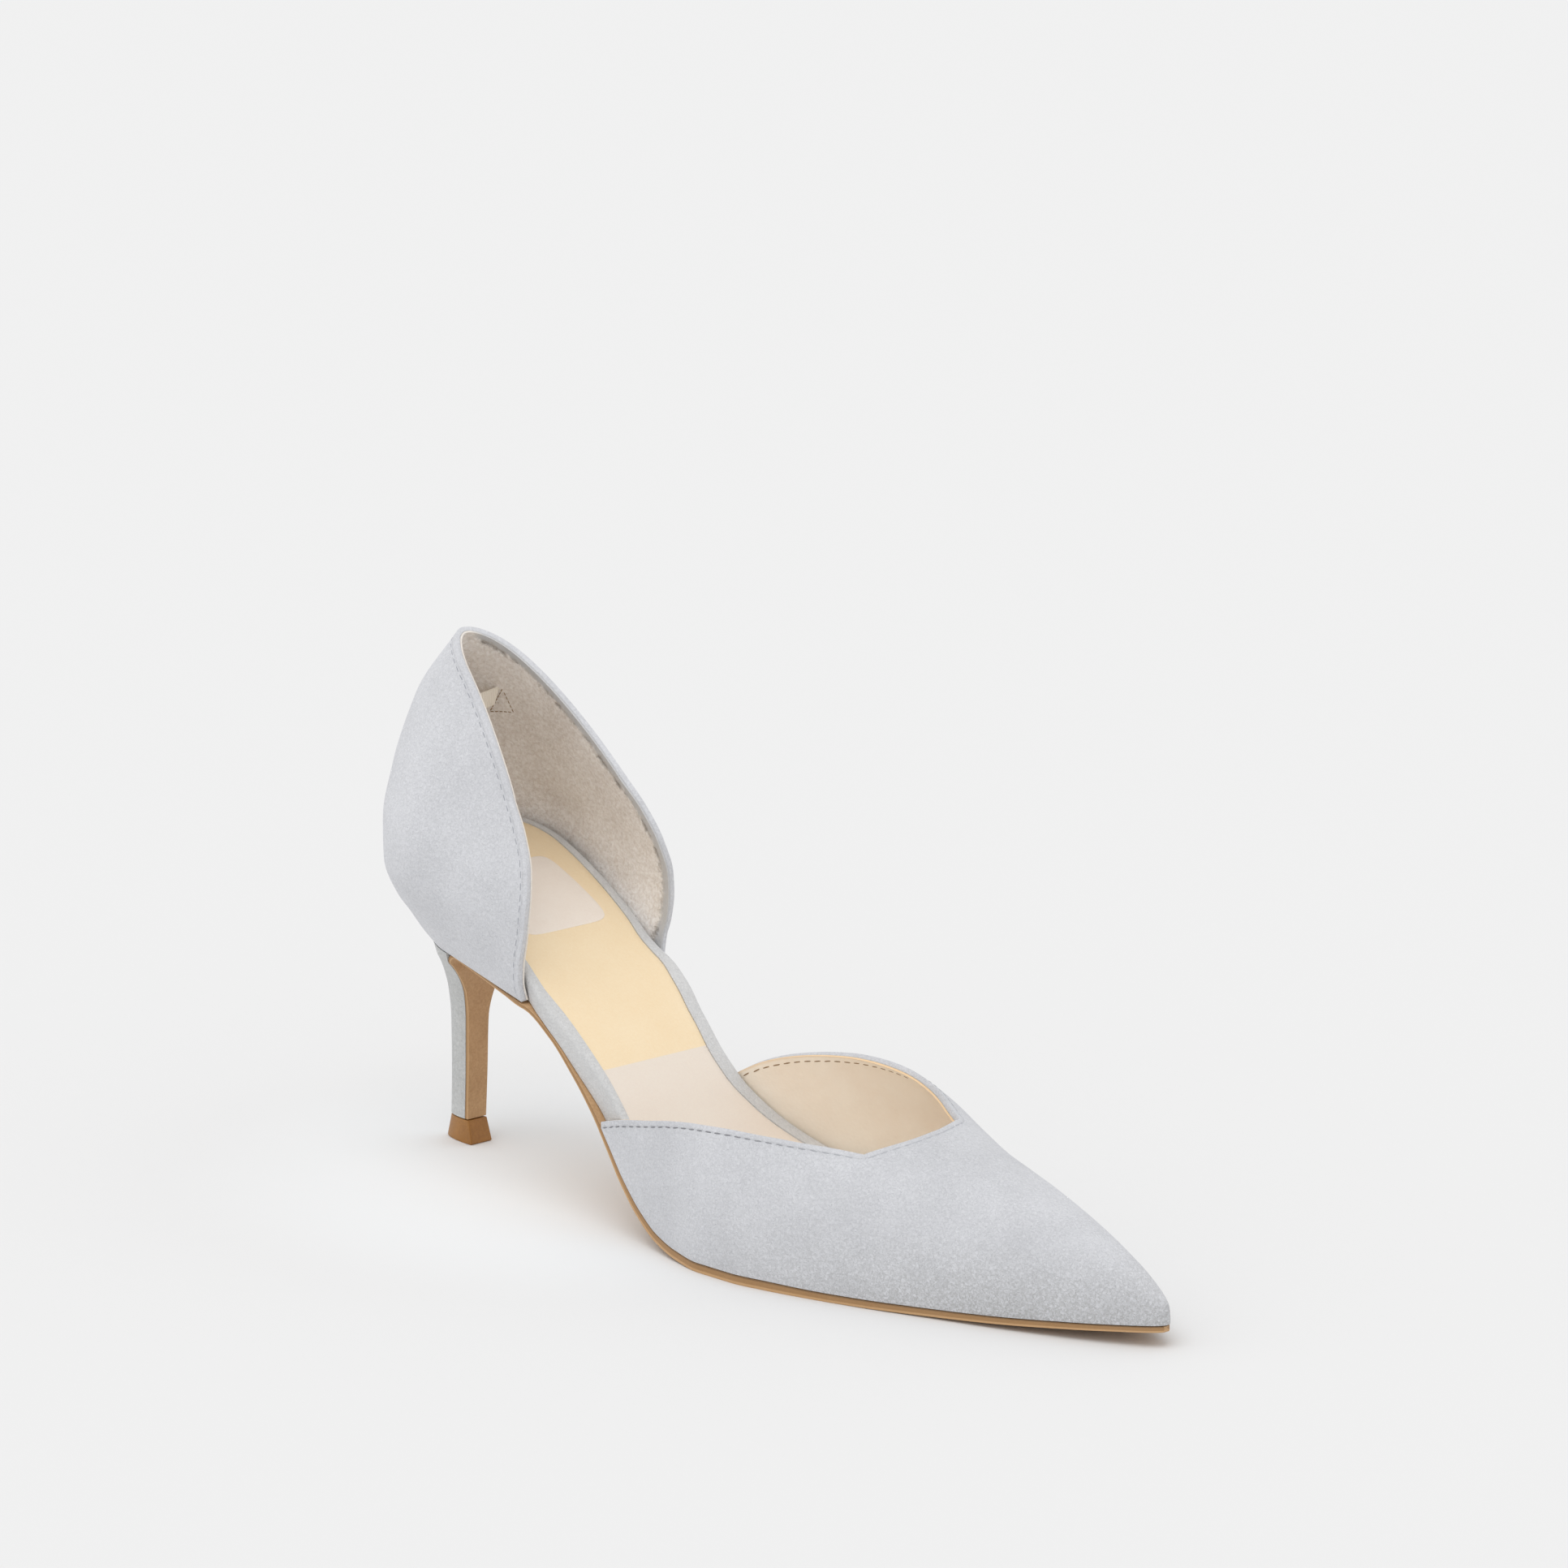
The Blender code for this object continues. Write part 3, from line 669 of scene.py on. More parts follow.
def mark_edge(piece: bpy.types.Object, lines: Iterable[Sequence[Point]]) -> None:
    """Store each point's distance from a cut edge, in millimetres, for the finish to read.

    Args:
        piece: The finished piece.
        lines: Closely spaced points along the edge, in the row frame.
    """
    edge = np.array([point for line in lines for point in line])
    points = np.array([vertex.co for vertex in piece.data.vertices])
    distance = np.full(len(points), np.inf)
    for start in range(0, len(points), BATCH):
        part = points[start:start + BATCH]
        gaps = np.linalg.norm(part[:, None, :] - edge[None, :, :], axis=2)
        distance[start:start + BATCH] = gaps.min(axis=1) / MM
    attribute = piece.data.attributes.new(EDGE_ATTRIBUTE, "FLOAT", "POINT")
    attribute.data.foreach_set("value", distance.astype(np.float32))


def close_ring_loft(name: str, rings: Sequence[Sequence[Point]]) -> bpy.types.Object:
    """Lay a grid over a stack of closed rings and fill its two ends.

    Args:
        name: The piece's name.
        rings: Rings of equal count, in the row frame.

    Returns:
        The closed piece.
    """
    rows, count = len(rings) - 1, len(rings[0])

    def place(u: float, v: float) -> Point:
        """Give a ring's point from the two shares."""
        return rings[round(v * rows)][round(u * count) % count]

    piece = add_sheet(name, count, rows, place)
    weld(piece, close_ends=True)
    return piece


def resample(points: Sequence[Point], pitch: float) -> list[Vector]:
    """Walk along a line of points at an even pitch in metres.

    Args:
        points: The line.
        pitch: The pitch.

    Returns:
        The points at that pitch.
    """
    line = np.array(points)
    run = np.concatenate(([0.0], np.cumsum(np.linalg.norm(np.diff(line, axis=0), axis=1))))
    places = np.arange(0.0, run[-1], pitch)
    return [Vector([float(np.interp(p, run, line[:, k])) for k in range(3)]) for p in places]


@dataclass(frozen=True)
class Thread:
    """A row of lockstitches in sewing thread, sizes in millimetres."""

    pitch: float = 2.8
    stitch: float = 2.0
    thick: float = 0.4
    sunk: float = 0.1
    inset: float = 1.4
    wander: float = 0.06
    blunt: float = 0.6
    probe: float = 1.5
    seed: int = 11

    def template(self) -> tuple[np.ndarray, list[tuple[int, ...]]]:
        """Model one stitch from a ball and give its points and faces, and take it away again.

        Returns:
            The points and the faces.
        """
        bpy.ops.object.select_all(action="DESELECT")
        bpy.ops.mesh.primitive_uv_sphere_add(segments=8, ring_count=6, radius=0.5,
                                             rotation=(0.0, 0.5 * pi, 0.0))
        bpy.ops.object.transform_apply(rotation=True)
        ball = bpy.context.object
        points = np.array([vertex.co for vertex in ball.data.vertices])
        points[:, 0] = 0.5 * np.sign(points[:, 0]) * (2.0 * np.abs(points[:, 0])) ** self.blunt
        points *= np.array((self.stitch, self.thick, self.thick)) * MM
        faces = [tuple(face.vertices) for face in ball.data.polygons]
        mesh = ball.data
        bpy.data.objects.remove(ball)
        bpy.data.meshes.remove(mesh)
        return points, faces

    def sew(self, name: str, ground: bpy.types.Object, lines: Sequence[Sequence[Point]],
            way: Point, depth: float = 0.0) -> bpy.types.Object:
        """Lay stitches beside an edge, on the face of a piece.

        Args:
            name: The name of the row.
            ground: The piece that the thread lies on.
            lines: The edge in parts, each a line of points in the row frame.
            way: A direction that the inset roughly follows.
            depth: How far behind the edge's face the ground lies, in millimetres.

        Returns:
            The stitches in one mesh.
        """
        tree = BVHTree.FromPolygons([v.co for v in ground.data.vertices],
                                    [p.vertices for p in ground.data.polygons])
        shape, faces = self.template()
        inward = Vector(way)
        chance = np.random.default_rng(self.seed)
        points: list[np.ndarray] = []
        polygons: list[tuple[int, ...]] = []
        for line in lines:
            path = resample(line, self.pitch * MM)
            for here, after in zip(path, path[1:]):
                middle = 0.5 * (here + after)
                along = (after - here).normalized()
                _, normal, _, _ = tree.find_nearest(middle + inward * self.probe * self.inset * MM)
                across = normal.cross(along).normalized()
                if across.dot(inward) < 0.0:
                    across = -across
                target = middle + across * self.inset * MM - normal * depth * MM
                place, normal, _, _ = tree.find_nearest(target)
                along = (along - normal * along.dot(normal)).normalized()
                turn = self.wander * float(chance.standard_normal())
                along = (along + normal.cross(along) * turn).normalized()
                side = normal.cross(along)
                place = place - normal * self.sunk * MM
                basis = np.array((along, side, normal))
                start = sum(len(p) for p in points)
                points.append(shape @ basis + np.array(place))
                polygons += [tuple(start + k for k in face) for face in faces]
        mesh = bpy.data.meshes.new(name)
        mesh.from_pydata(np.concatenate(points).tolist(), [], polygons)
        row = bpy.data.objects.new(name, mesh)
        bpy.context.scene.collection.objects.link(row)
        weld(row)
        smooth_shade(row, 180.0)
        return row


@dataclass(frozen=True)
class LinedWall:
    """A wall of suede with a lining of its own behind it, sizes in millimetres."""

    suede: float = 1.28
    gap: float = 1.32
    lining: float = 0.46
    edge_round: float = 0.42

    def raise_from(self, sheet: bpy.types.Object, name: str, inside: Point,
                   lines: Sequence[Sequence[Point]], cut: Optional[Point] = None) -> bpy.types.Object:
        """Turn an open sheet into the suede, and a copy of it into the lining.

        Args:
            sheet: The outer face, which becomes the suede.
            name: The lining's name.
            inside: A place inside the shoe, in the row frame.
            lines: The stitched edge, in the row frame.
            cut: Where the lining ends towards the toe, if it ends before the suede does.

        Returns:
            The lining.
        """
        weld(sheet)
        face_away(sheet, inside)
        inner = twin(sheet, name)
        if cut is not None:
            trim(inner, cut, AHEAD)
        shrink(inner, self.gap)
        thicken(sheet, self.suede)
        round_edges(sheet, self.edge_round)
        thicken(inner, self.lining)
        for piece in (sheet, inner):
            smooth_shade(piece)
            mark_edge(piece, lines)
        return inner


# Finishes

def colour(code: str) -> Colour:
    """Turn an sRGB hex value into linear colour.

    Args:
        code: The hex value.

    Returns:
        The colour with its alpha.
    """
    parts = [int(code.lstrip("#")[k:k + 2], 16) / 255.0 for k in (0, 2, 4)]
    red, green, blue = (p / 12.92 if p <= 0.04045 else ((p + 0.055) / 1.055) ** 2.4 for p in parts)
    return (red, green, blue, 1.0)


def grey(value: float) -> Colour:
    """Give a linear grey."""
    return (value, value, value, 1.0)


def add_node(tree: bpy.types.NodeTree, kind: str, settings: dict[Any, Any],
             output: Any = 0) -> Optional[bpy.types.NodeSocket]:
    """Add a node with its settings and links.

    Args:
        tree: The node tree.
        kind: The node's type, without its prefix.
        settings: Sockets by name or number, properties by name, and a ramp's stops. A value that
            is a socket is linked.
        output: The name or number of the output that is asked for.

    Returns:
        The output, if the node has any.
    """
    node = tree.nodes.new("ShaderNode" + kind)
    for name, value in settings.items():
        if name == "stops":
            while len(node.color_ramp.elements) < len(value):
                node.color_ramp.elements.new(1.0)
            for element, (place, tone) in zip(node.color_ramp.elements, value):
                element.position, element.color = place, tone
        elif isinstance(value, bpy.types.NodeSocket):
            tree.links.new(value, node.inputs[name])
        elif isinstance(name, int) or name in node.inputs:
            node.inputs[name].default_value = value
        else:
            setattr(node, name, value)
    return node.outputs[output] if node.outputs else None


class Finish:
    """What every finish shares: a material made of nodes around one Principled shader."""

    name: str
    relief: float

    def start(self) -> tuple[bpy.types.Material, bpy.types.NodeTree, bpy.types.NodeSocket]:
        """Make the material, without nodes but for its coordinates.

        Returns:
            The material, its node tree and its Object coordinates.
        """
        material = bpy.data.materials.new(self.name)
        material.use_nodes = True
        tree = material.node_tree
        tree.nodes.clear()
        return material, tree, add_node(tree, "TexCoord", {}, "Object")

    def end(self, tree: bpy.types.NodeTree, tone: bpy.types.NodeSocket, settings: dict[str, Any],
            height: Optional[bpy.types.NodeSocket] = None) -> None:
        """Close the material with its relief, if it has any, and its shader.

        Args:
            tree: The node tree.
            tone: The colour.
            settings: The shader's other settings.
            height: What the relief follows.
        """
        if height is not None:
            relief = add_node(tree, "Bump", {"Height": height, "Distance": self.relief * MM})
            settings = {"Normal": relief, **settings}
        shader = add_node(tree, "BsdfPrincipled", {"Base Color": tone, **settings})
        add_node(tree, "OutputMaterial", {"Surface": shader})

    def mottle(self, tree: bpy.types.NodeTree, place: bpy.types.NodeSocket, tones: tuple[str, str],
               sizes: tuple[float, float], balance: float,
               wind: float = 0.0) -> tuple[bpy.types.NodeSocket, bpy.types.NodeSocket]:
        """Mix two tones by a fine grain over soft clouds.

        Args:
            tree: The node tree.
            place: The coordinates.
            tones: The dark and the light tone.
            sizes: The sizes of the grain and of the clouds in millimetres.
            balance: The share of the grain.
            wind: How much the grain winds.

        Returns:
            The grain's height and the mixed colour.
        """
        grain, clouds = (add_node(tree, "TexNoise", {
            "Vector": place, "Scale": 1.0 / (size * MM), "Detail": 3.0, "Roughness": 0.6,
            "Distortion": twist}) for size, twist in zip(sizes, (wind, 0.0)))
        parts = [add_node(tree, "MapRange", {"Value": value, "From Min": 0.33, "From Max": 0.67,
                                             "To Max": share})
                 for value, share in ((grain, balance), (clouds, 1.0 - balance))]
        share = add_node(tree, "Math", {"operation": "ADD", 0: parts[0], 1: parts[1]})
        tone = add_node(tree, "Mix", {"data_type": "RGBA", "Factor": share, 6: colour(tones[0]),
                                      7: colour(tones[1])}, 2)
        return grain, tone


@dataclass(frozen=True)
class Suede(Finish):
    """Buffed suede: a short nap that scatters light, clouded where it was brushed both ways.

    The nap of such suede is about 0.2 mm, too fine to show: it is drawn at 0.55 mm. The painted
    shade low down lies between two heights and two places along the shoe, in metres of the row frame.
    """

    name: str = "pale_blue_grey_suede"
    light: str = "#e3e4e8"
    dark: str = "#c5c6ca"
    # Painted shade: the grey that the suede takes low down towards the toe
    painted_low_shade: str = "#aeaeac"
    # Painted shade in the stitch groove
    groove: str = "#8f949c"
    nap: float = 0.55
    cloud: float = 24.0
    relief: float = 0.24
    low: float = 0.002
    high: float = 0.019
    waist: float = 0.0
    toe: float = 0.085

    def make(self) -> bpy.types.Material:
        """Make the suede, greyed by painted shade low down at the toe, and sunk along its stitched edges
        with painted shade in the groove.

        Returns:
            The material.
        """
        material, tree, place = self.start()
        nap, tone = self.mottle(tree, place, (self.dark, self.light), (self.nap, self.cloud),
                                balance=0.62, wind=0.9)
        along, height = (add_node(tree, "SeparateXYZ", {"Vector": place}, axis) for axis in "XZ")
        ahead = add_node(tree, "MapRange", {"Value": along, "From Min": self.waist, "From Max": self.toe,
                                            "To Max": 0.85})
        low = add_node(tree, "MapRange", {"Value": height, "From Min": self.low, "From Max": self.high,
                                          "To Min": ahead, "To Max": 0.0})
        pits = add_node(tree, "MapRange", {"Value": nap, "From Min": 0.38, "From Max": 0.62,
                                           "To Min": 1.0, "To Max": 0.1})
        # Painted shade: greyer low down towards the toe, in the pits of the nap, where the lower vamp is
        # in shade
        painted_low_shade = add_node(tree, "Math", {"operation": "MULTIPLY", 0: low, 1: pits})
        tone = add_node(tree, "Mix", {"data_type": "RGBA", "Factor": painted_low_shade, 6: tone,
                                      7: colour(self.painted_low_shade)}, 2)
        edge = add_node(tree, "Attribute", {"attribute_name": EDGE_ATTRIBUTE}, "Fac")
        away = add_node(tree, "MapRange", {"Value": edge, "From Max": 4.0})
        groove = add_node(tree, "ValToRGB", {"Fac": away, "stops": (
            (0.0, grey(0.62)), (0.12, grey(0.8)), (0.28, grey(0.72)), (0.36, grey(0.3)),
            (0.48, grey(0.58)), (0.8, grey(0.5)))})
        # Painted shade: the suede is darkened in the groove beside the stitches, where shade falls
        painted_groove_shade = add_node(tree, "MapRange", {"Value": groove, "From Min": 0.3, "From Max": 0.5,
                                              "To Min": 0.14, "To Max": 0.0})
        tone = add_node(tree, "Mix", {"data_type": "RGBA", "Factor": painted_groove_shade, 6: tone,
                                      7: colour(self.groove)}, 2)
        folded = add_node(tree, "Math", {"operation": "MULTIPLY_ADD", 0: groove, 1: 1.4, 2: nap})
        self.end(tree, tone, {"Roughness": 0.95, "Specular IOR Level": 0.15, "Sheen Weight": 0.15,
                              "Sheen Roughness": 0.6}, folded)
        return material


@dataclass(frozen=True)
class LiningSuede(Finish):
    """Microsuede lining: short dusty fibres, rough where it was lasted, frayed at its cut edge."""

    name: str = "beige_microsuede_lining"
    light: str = "#fdfaf7"
    dark: str = "#d8cec5"
    cut: str = "#e9e2d8"
    frayed: str = "#bfc0c2"
    # Painted shade in the crease
    crease: str = "#80776d"
    nap: float = 0.8
    cloud: float = 15.0
    tuft: float = 2.6
    relief: float = 0.3

    def make(self) -> bpy.types.Material:
        """Make the microsuede, frayed and creased along its inner side, with painted shade darkening the
        crease.

        Returns:
            The material.
        """
        material, tree, place = self.start()
        nap, tone = self.mottle(tree, place, (self.dark, self.light), (self.nap, self.cloud),
                                balance=0.65, wind=0.5)
        edge = add_node(tree, "Attribute", {"attribute_name": EDGE_ATTRIBUTE}, "Fac")
        across = add_node(tree, "SeparateXYZ", {"Vector": place}, "Y")
        inner = add_node(tree, "MapRange", {"Value": across, "From Min": 0.0, "From Max": 0.003})
        rim = add_node(tree, "Mix", {"data_type": "RGBA", "Factor": inner, 6: colour(self.cut),
                                     7: colour(self.frayed)}, 2)
        rough = add_node(tree, "Math", {"operation": "MULTIPLY_ADD", 0: nap, 1: 1.6, 2: edge})
        reach = add_node(tree, "Math", {"operation": "MULTIPLY_ADD", 0: inner, 1: 0.9, 2: 2.0})
        ragged = add_node(tree, "Math", {"operation": "SUBTRACT", 0: rough, 1: reach})
        cut = add_node(tree, "MapRange", {"Value": ragged, "From Min": 0.2, "From Max": 0.9,
                                          "To Min": 0.85, "To Max": 0.0})
        tone = add_node(tree, "Mix", {"data_type": "RGBA", "Factor": cut, 6: tone, 7: rim}, 2)
        band = add_node(tree, "MapRange", {"Value": rough, "From Max": 8.0})
        crease = add_node(tree, "ValToRGB", {"Fac": band, "stops": (
            (0.0, grey(0.0)), (0.38, grey(0.0)), (0.45, grey(0.8)), (0.56, grey(0.0)))})
        broken = add_node(tree, "TexNoise", {"Vector": place, "Scale": 1.0 / (self.tuft * MM),
                                             "Detail": 3.0})
        broken = add_node(tree, "MapRange", {"Value": broken, "From Min": 0.4, "From Max": 0.62})
        broken = add_node(tree, "Math", {"operation": "MULTIPLY", 0: broken, 1: inner})
        crease = add_node(tree, "Math", {"operation": "MULTIPLY", 0: crease, 1: broken})
        # Painted shade: the crease is darkened as if it lay in shade
        tone = add_node(tree, "Mix", {"data_type": "RGBA", "Factor": crease, 6: tone,
                                      7: colour(self.crease)}, 2)
        folded = add_node(tree, "Math", {"operation": "MULTIPLY_ADD", 0: crease, 1: -1.5, 2: nap})
        self.end(tree, tone, {"Roughness": 0.95, "Specular IOR Level": 0.12,
                              "Sheen Weight": 0.15}, folded)
        return material


@dataclass(frozen=True)
class Leatherette(Finish):
    """Coated lining: smooth, softly shiny, a little slack between the edges that hold it."""

    name: str = "cream_coated_lining"
    light: str = "#fff5e5"
    dark: str = "#f9ead7"
    cut: str = "#f0d0a6"
    pebble: float = 0.9
    cloud: float = 18.0
    slack: float = 9.0
    relief: float = 0.6

    def make(self) -> bpy.types.Material:
        """Make the coated lining.

        Returns:
            The material.
        """
        material, tree, place = self.start()
        _, tone = self.mottle(tree, place, (self.dark, self.light), (self.pebble, self.cloud),
                              balance=0.15)
        edge = add_node(tree, "Attribute", {"attribute_name": EDGE_ATTRIBUTE}, "Fac")
        cut = add_node(tree, "MapRange", {"Value": edge, "From Min": 1.7, "From Max": 1.9,
                                          "To Min": 1.0, "To Max": 0.0})
        tone = add_node(tree, "Mix", {"data_type": "RGBA", "Factor": cut, 6: tone,
                                      7: colour(self.cut)}, 2)
        slack = add_node(tree, "TexNoise", {"Vector": place, "Scale": 1.0 / (self.slack * MM),
                                            "Detail": 1.0})
        pebble = add_node(tree, "TexVoronoi", {"Vector": place, "Scale": 1.0 / (self.pebble * MM)})
        height = add_node(tree, "Math", {"operation": "MULTIPLY_ADD", 0: pebble, 1: 0.06, 2: slack})
        self.end(tree, tone, {"Roughness": 0.5, "Specular IOR Level": 0.35}, height)
        return material


@dataclass(frozen=True)
class SoleLeather(Finish):
    """Tan sole leather: fine pores, a waxed edge with a paler line along its lower rim."""

    name: str = "tan_sole_leather"
    face: str = "#c9a47b"
    pores: str = "#b08a61"
    edge: str = "#a07a50"
    rim: str = "#cba477"
    shade: str = "#5f4830"
    pore: float = 0.6
    cloud: float = 9.0
    relief: float = 0.08

    def make(self) -> bpy.types.Material:
        """Make the sole leather, whose edge bands follow the section around the piece.

        Returns:
            The material.
        """
        material, tree, place = self.start()
        grain, tone = self.mottle(tree, place, (self.pores, self.face), (self.pore, self.cloud),
                                  balance=0.6)
        around = add_node(tree, "UVMap", {"uv_map": "UVMap"})
        u = add_node(tree, "SeparateXYZ", {"Vector": around}, "X")
        band = Outsole.band_stops()
        edge = add_node(tree, "ValToRGB", {"Fac": u, "stops": [
            (at, colour(getattr(self, tint))) for at, tint in band]})
        on_edge = add_node(tree, "ValToRGB", {"Fac": u, "stops": [
            (at, grey(0.0 if tint == "face" else 0.8)) for at, tint in band]})
        tone = add_node(tree, "Mix", {"data_type": "RGBA", "Factor": on_edge, 6: tone, 7: edge}, 2)
        self.end(tree, tone, {"Roughness": 0.55, "Specular IOR Level": 0.35}, grain)
        return material


@dataclass(frozen=True)
class SatinCoat(Finish):
    """Coated or moulded stuff in one colour: a satin surface with a faint grain."""

    name: str
    light: str
    dark: str
    grain: float = 0.6
    cloud: float = 6.0
    roughness: float = 0.42
    relief: float = 0.03

    def make(self) -> bpy.types.Material:
        """Make the coated stuff.

        Returns:
            The material.
        """
        material, tree, place = self.start()
        grain, tone = self.mottle(tree, place, (self.dark, self.light), (self.grain, self.cloud),
                                  balance=0.5)
        self.end(tree, tone, {"Roughness": self.roughness}, grain)
        return material


@dataclass(frozen=True)
class SockSatin(Finish):
    """Lining leather in two colours: satin coat, tan at the back and cream under the ball."""

    name: str = "two_tone_sock_leather"
    tan: tuple[str, str] = ("#f2dab3", "#f6e2c0")
    cream: tuple[str, str] = ("#e8dbce", "#ebe1d4")
    border: float = -35.2
    blend: float = 0.1
    grain: float = 0.6
    cloud: float = 20.0
    relief: float = 0.03

    def make(self) -> bpy.types.Material:
        """Make the sock's leather, whose two colours meet straight across the foot.

        Returns:
            The material.
        """
        material, tree, place = self.start()
        (grain, tan), (_, cream) = (
            self.mottle(tree, place, tones, (self.grain, self.cloud), balance=0.5)
            for tones in (self.tan, self.cream))
        along = add_node(tree, "SeparateXYZ", {"Vector": place}, "X")
        front = add_node(tree, "MapRange", {"Value": along, "From Min": (self.border - self.blend) * MM,
                                            "From Max": (self.border + self.blend) * MM})
        tone = add_node(tree, "Mix", {"data_type": "RGBA", "Factor": front, 6: tan, 7: cream}, 2)
        self.end(tree, tone, {"Roughness": 0.42, "Specular IOR Level": 0.4}, grain)
        return material


@dataclass(frozen=True)
class Ribbon(Finish):
    """Woven ribbon: fine ribs across its length."""

    name: str = "cream_grosgrain_ribbon"
    light: str = "#f8f0e4"
    dark: str = "#eadfcd"
    rib: float = 0.6
    relief: float = 0.06

    def make(self) -> bpy.types.Material:
        """Make the ribbon.

        Returns:
            The material.
        """
        material, tree, place = self.start()
        ribs = add_node(tree, "TexWave", {"Vector": place, "Scale": 0.5 / (self.rib * MM),
                                          "Distortion": 0.6, "bands_direction": "Y"}, "Fac")
        tone = add_node(tree, "Mix", {"data_type": "RGBA", "Factor": ribs, 6: colour(self.dark),
                                      7: colour(self.light)}, 2)
        self.end(tree, tone, {"Roughness": 0.8}, ribs)
        return material


@dataclass(frozen=True)
class SewingThread(Finish):
    """Polyester sewing thread: a tight twist with a dull sheen, paler where it sinks into the nap."""

    name: str
    light: str
    dark: str
    sunk: str
    fade_from: float = 15.0
    fade_to: float = 44.0
    twist: float = 0.35
    cloud: float = 4.0
    relief: float = 0.06

    def make(self) -> bpy.types.Material:
        """Make the thread, which fades to its sunk colour towards the throat.

        Returns:
            The material.
        """
        material, tree, place = self.start()
        twist, tone = self.mottle(tree, place, (self.dark, self.light), (self.twist, self.cloud),
                                  balance=0.7)
        along = add_node(tree, "SeparateXYZ", {"Vector": place}, "X")
        fade = add_node(tree, "MapRange", {"Value": along, "From Min": self.fade_from * MM,
                                           "From Max": self.fade_to * MM, "To Max": 0.85})
        tone = add_node(tree, "Mix", {"data_type": "RGBA", "Factor": fade, 6: tone,
                                      7: colour(self.sunk)}, 2)
        self.end(tree, tone, {"Roughness": 0.75}, twist)
        return material


@dataclass(frozen=True)
class StudioPaper(Finish):
    """Matt studio paper with painted light: paler and a little bluish around the shoe, so that its shadow
    stays pale and neutral.
    """

    name: str = "studio_paper_painted_light"
    far: str = "#e7e7e7"
    # Painted light: the paper's paler, bluish tone under and around the shoe
    near: str = "#f6f9fb"
    middle: Point = (-0.060, 0.0, 0.0)
    reach: tuple[float, float] = (0.01, 0.105)

    def make(self) -> bpy.types.Material:
        """Make the paper, with its painted light around the shoe.

        Returns:
            The material.
        """
        material, tree, place = self.start()
        away = add_node(tree, "VectorMath", {"operation": "DISTANCE", 0: place, 1: self.middle}, "Value")
        share = add_node(tree, "MapRange", {"interpolation_type": "SMOOTHSTEP", "Value": away,
                                            "From Min": self.reach[0], "From Max": self.reach[1]})
        tone = add_node(tree, "Mix", {"data_type": "RGBA", "Factor": share, 6: colour(self.near),
                                      7: colour(self.far)}, 2)
        self.end(tree, tone, {"Roughness": 1.0, "Specular IOR Level": 0.0})
        return material


def dress(piece: bpy.types.Object, material: bpy.types.Material, slot: Optional[Slot] = None,
          stands_for: Sequence[str] = ()) -> bpy.types.Object:
    """Give a finished piece its material and its body, and hide the nodes that it stands for.

    Args:
        piece: The finished piece.
        material: Its finish.
        slot: The record's slot, if it has one; not used.
        stands_for: The nodes that it replaces.

    Returns:
        The piece.
    """
    piece.data.materials.clear()
    piece.data.materials.append(material)
    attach(piece, BODY)
    if stands_for:
        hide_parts(*stands_for)
    faces = sum(len(p.vertices) - 2 for p in piece.data.polygons)
    LOG.info("piece %s: %d triangles", piece.name, faces)
    return piece


# Pieces

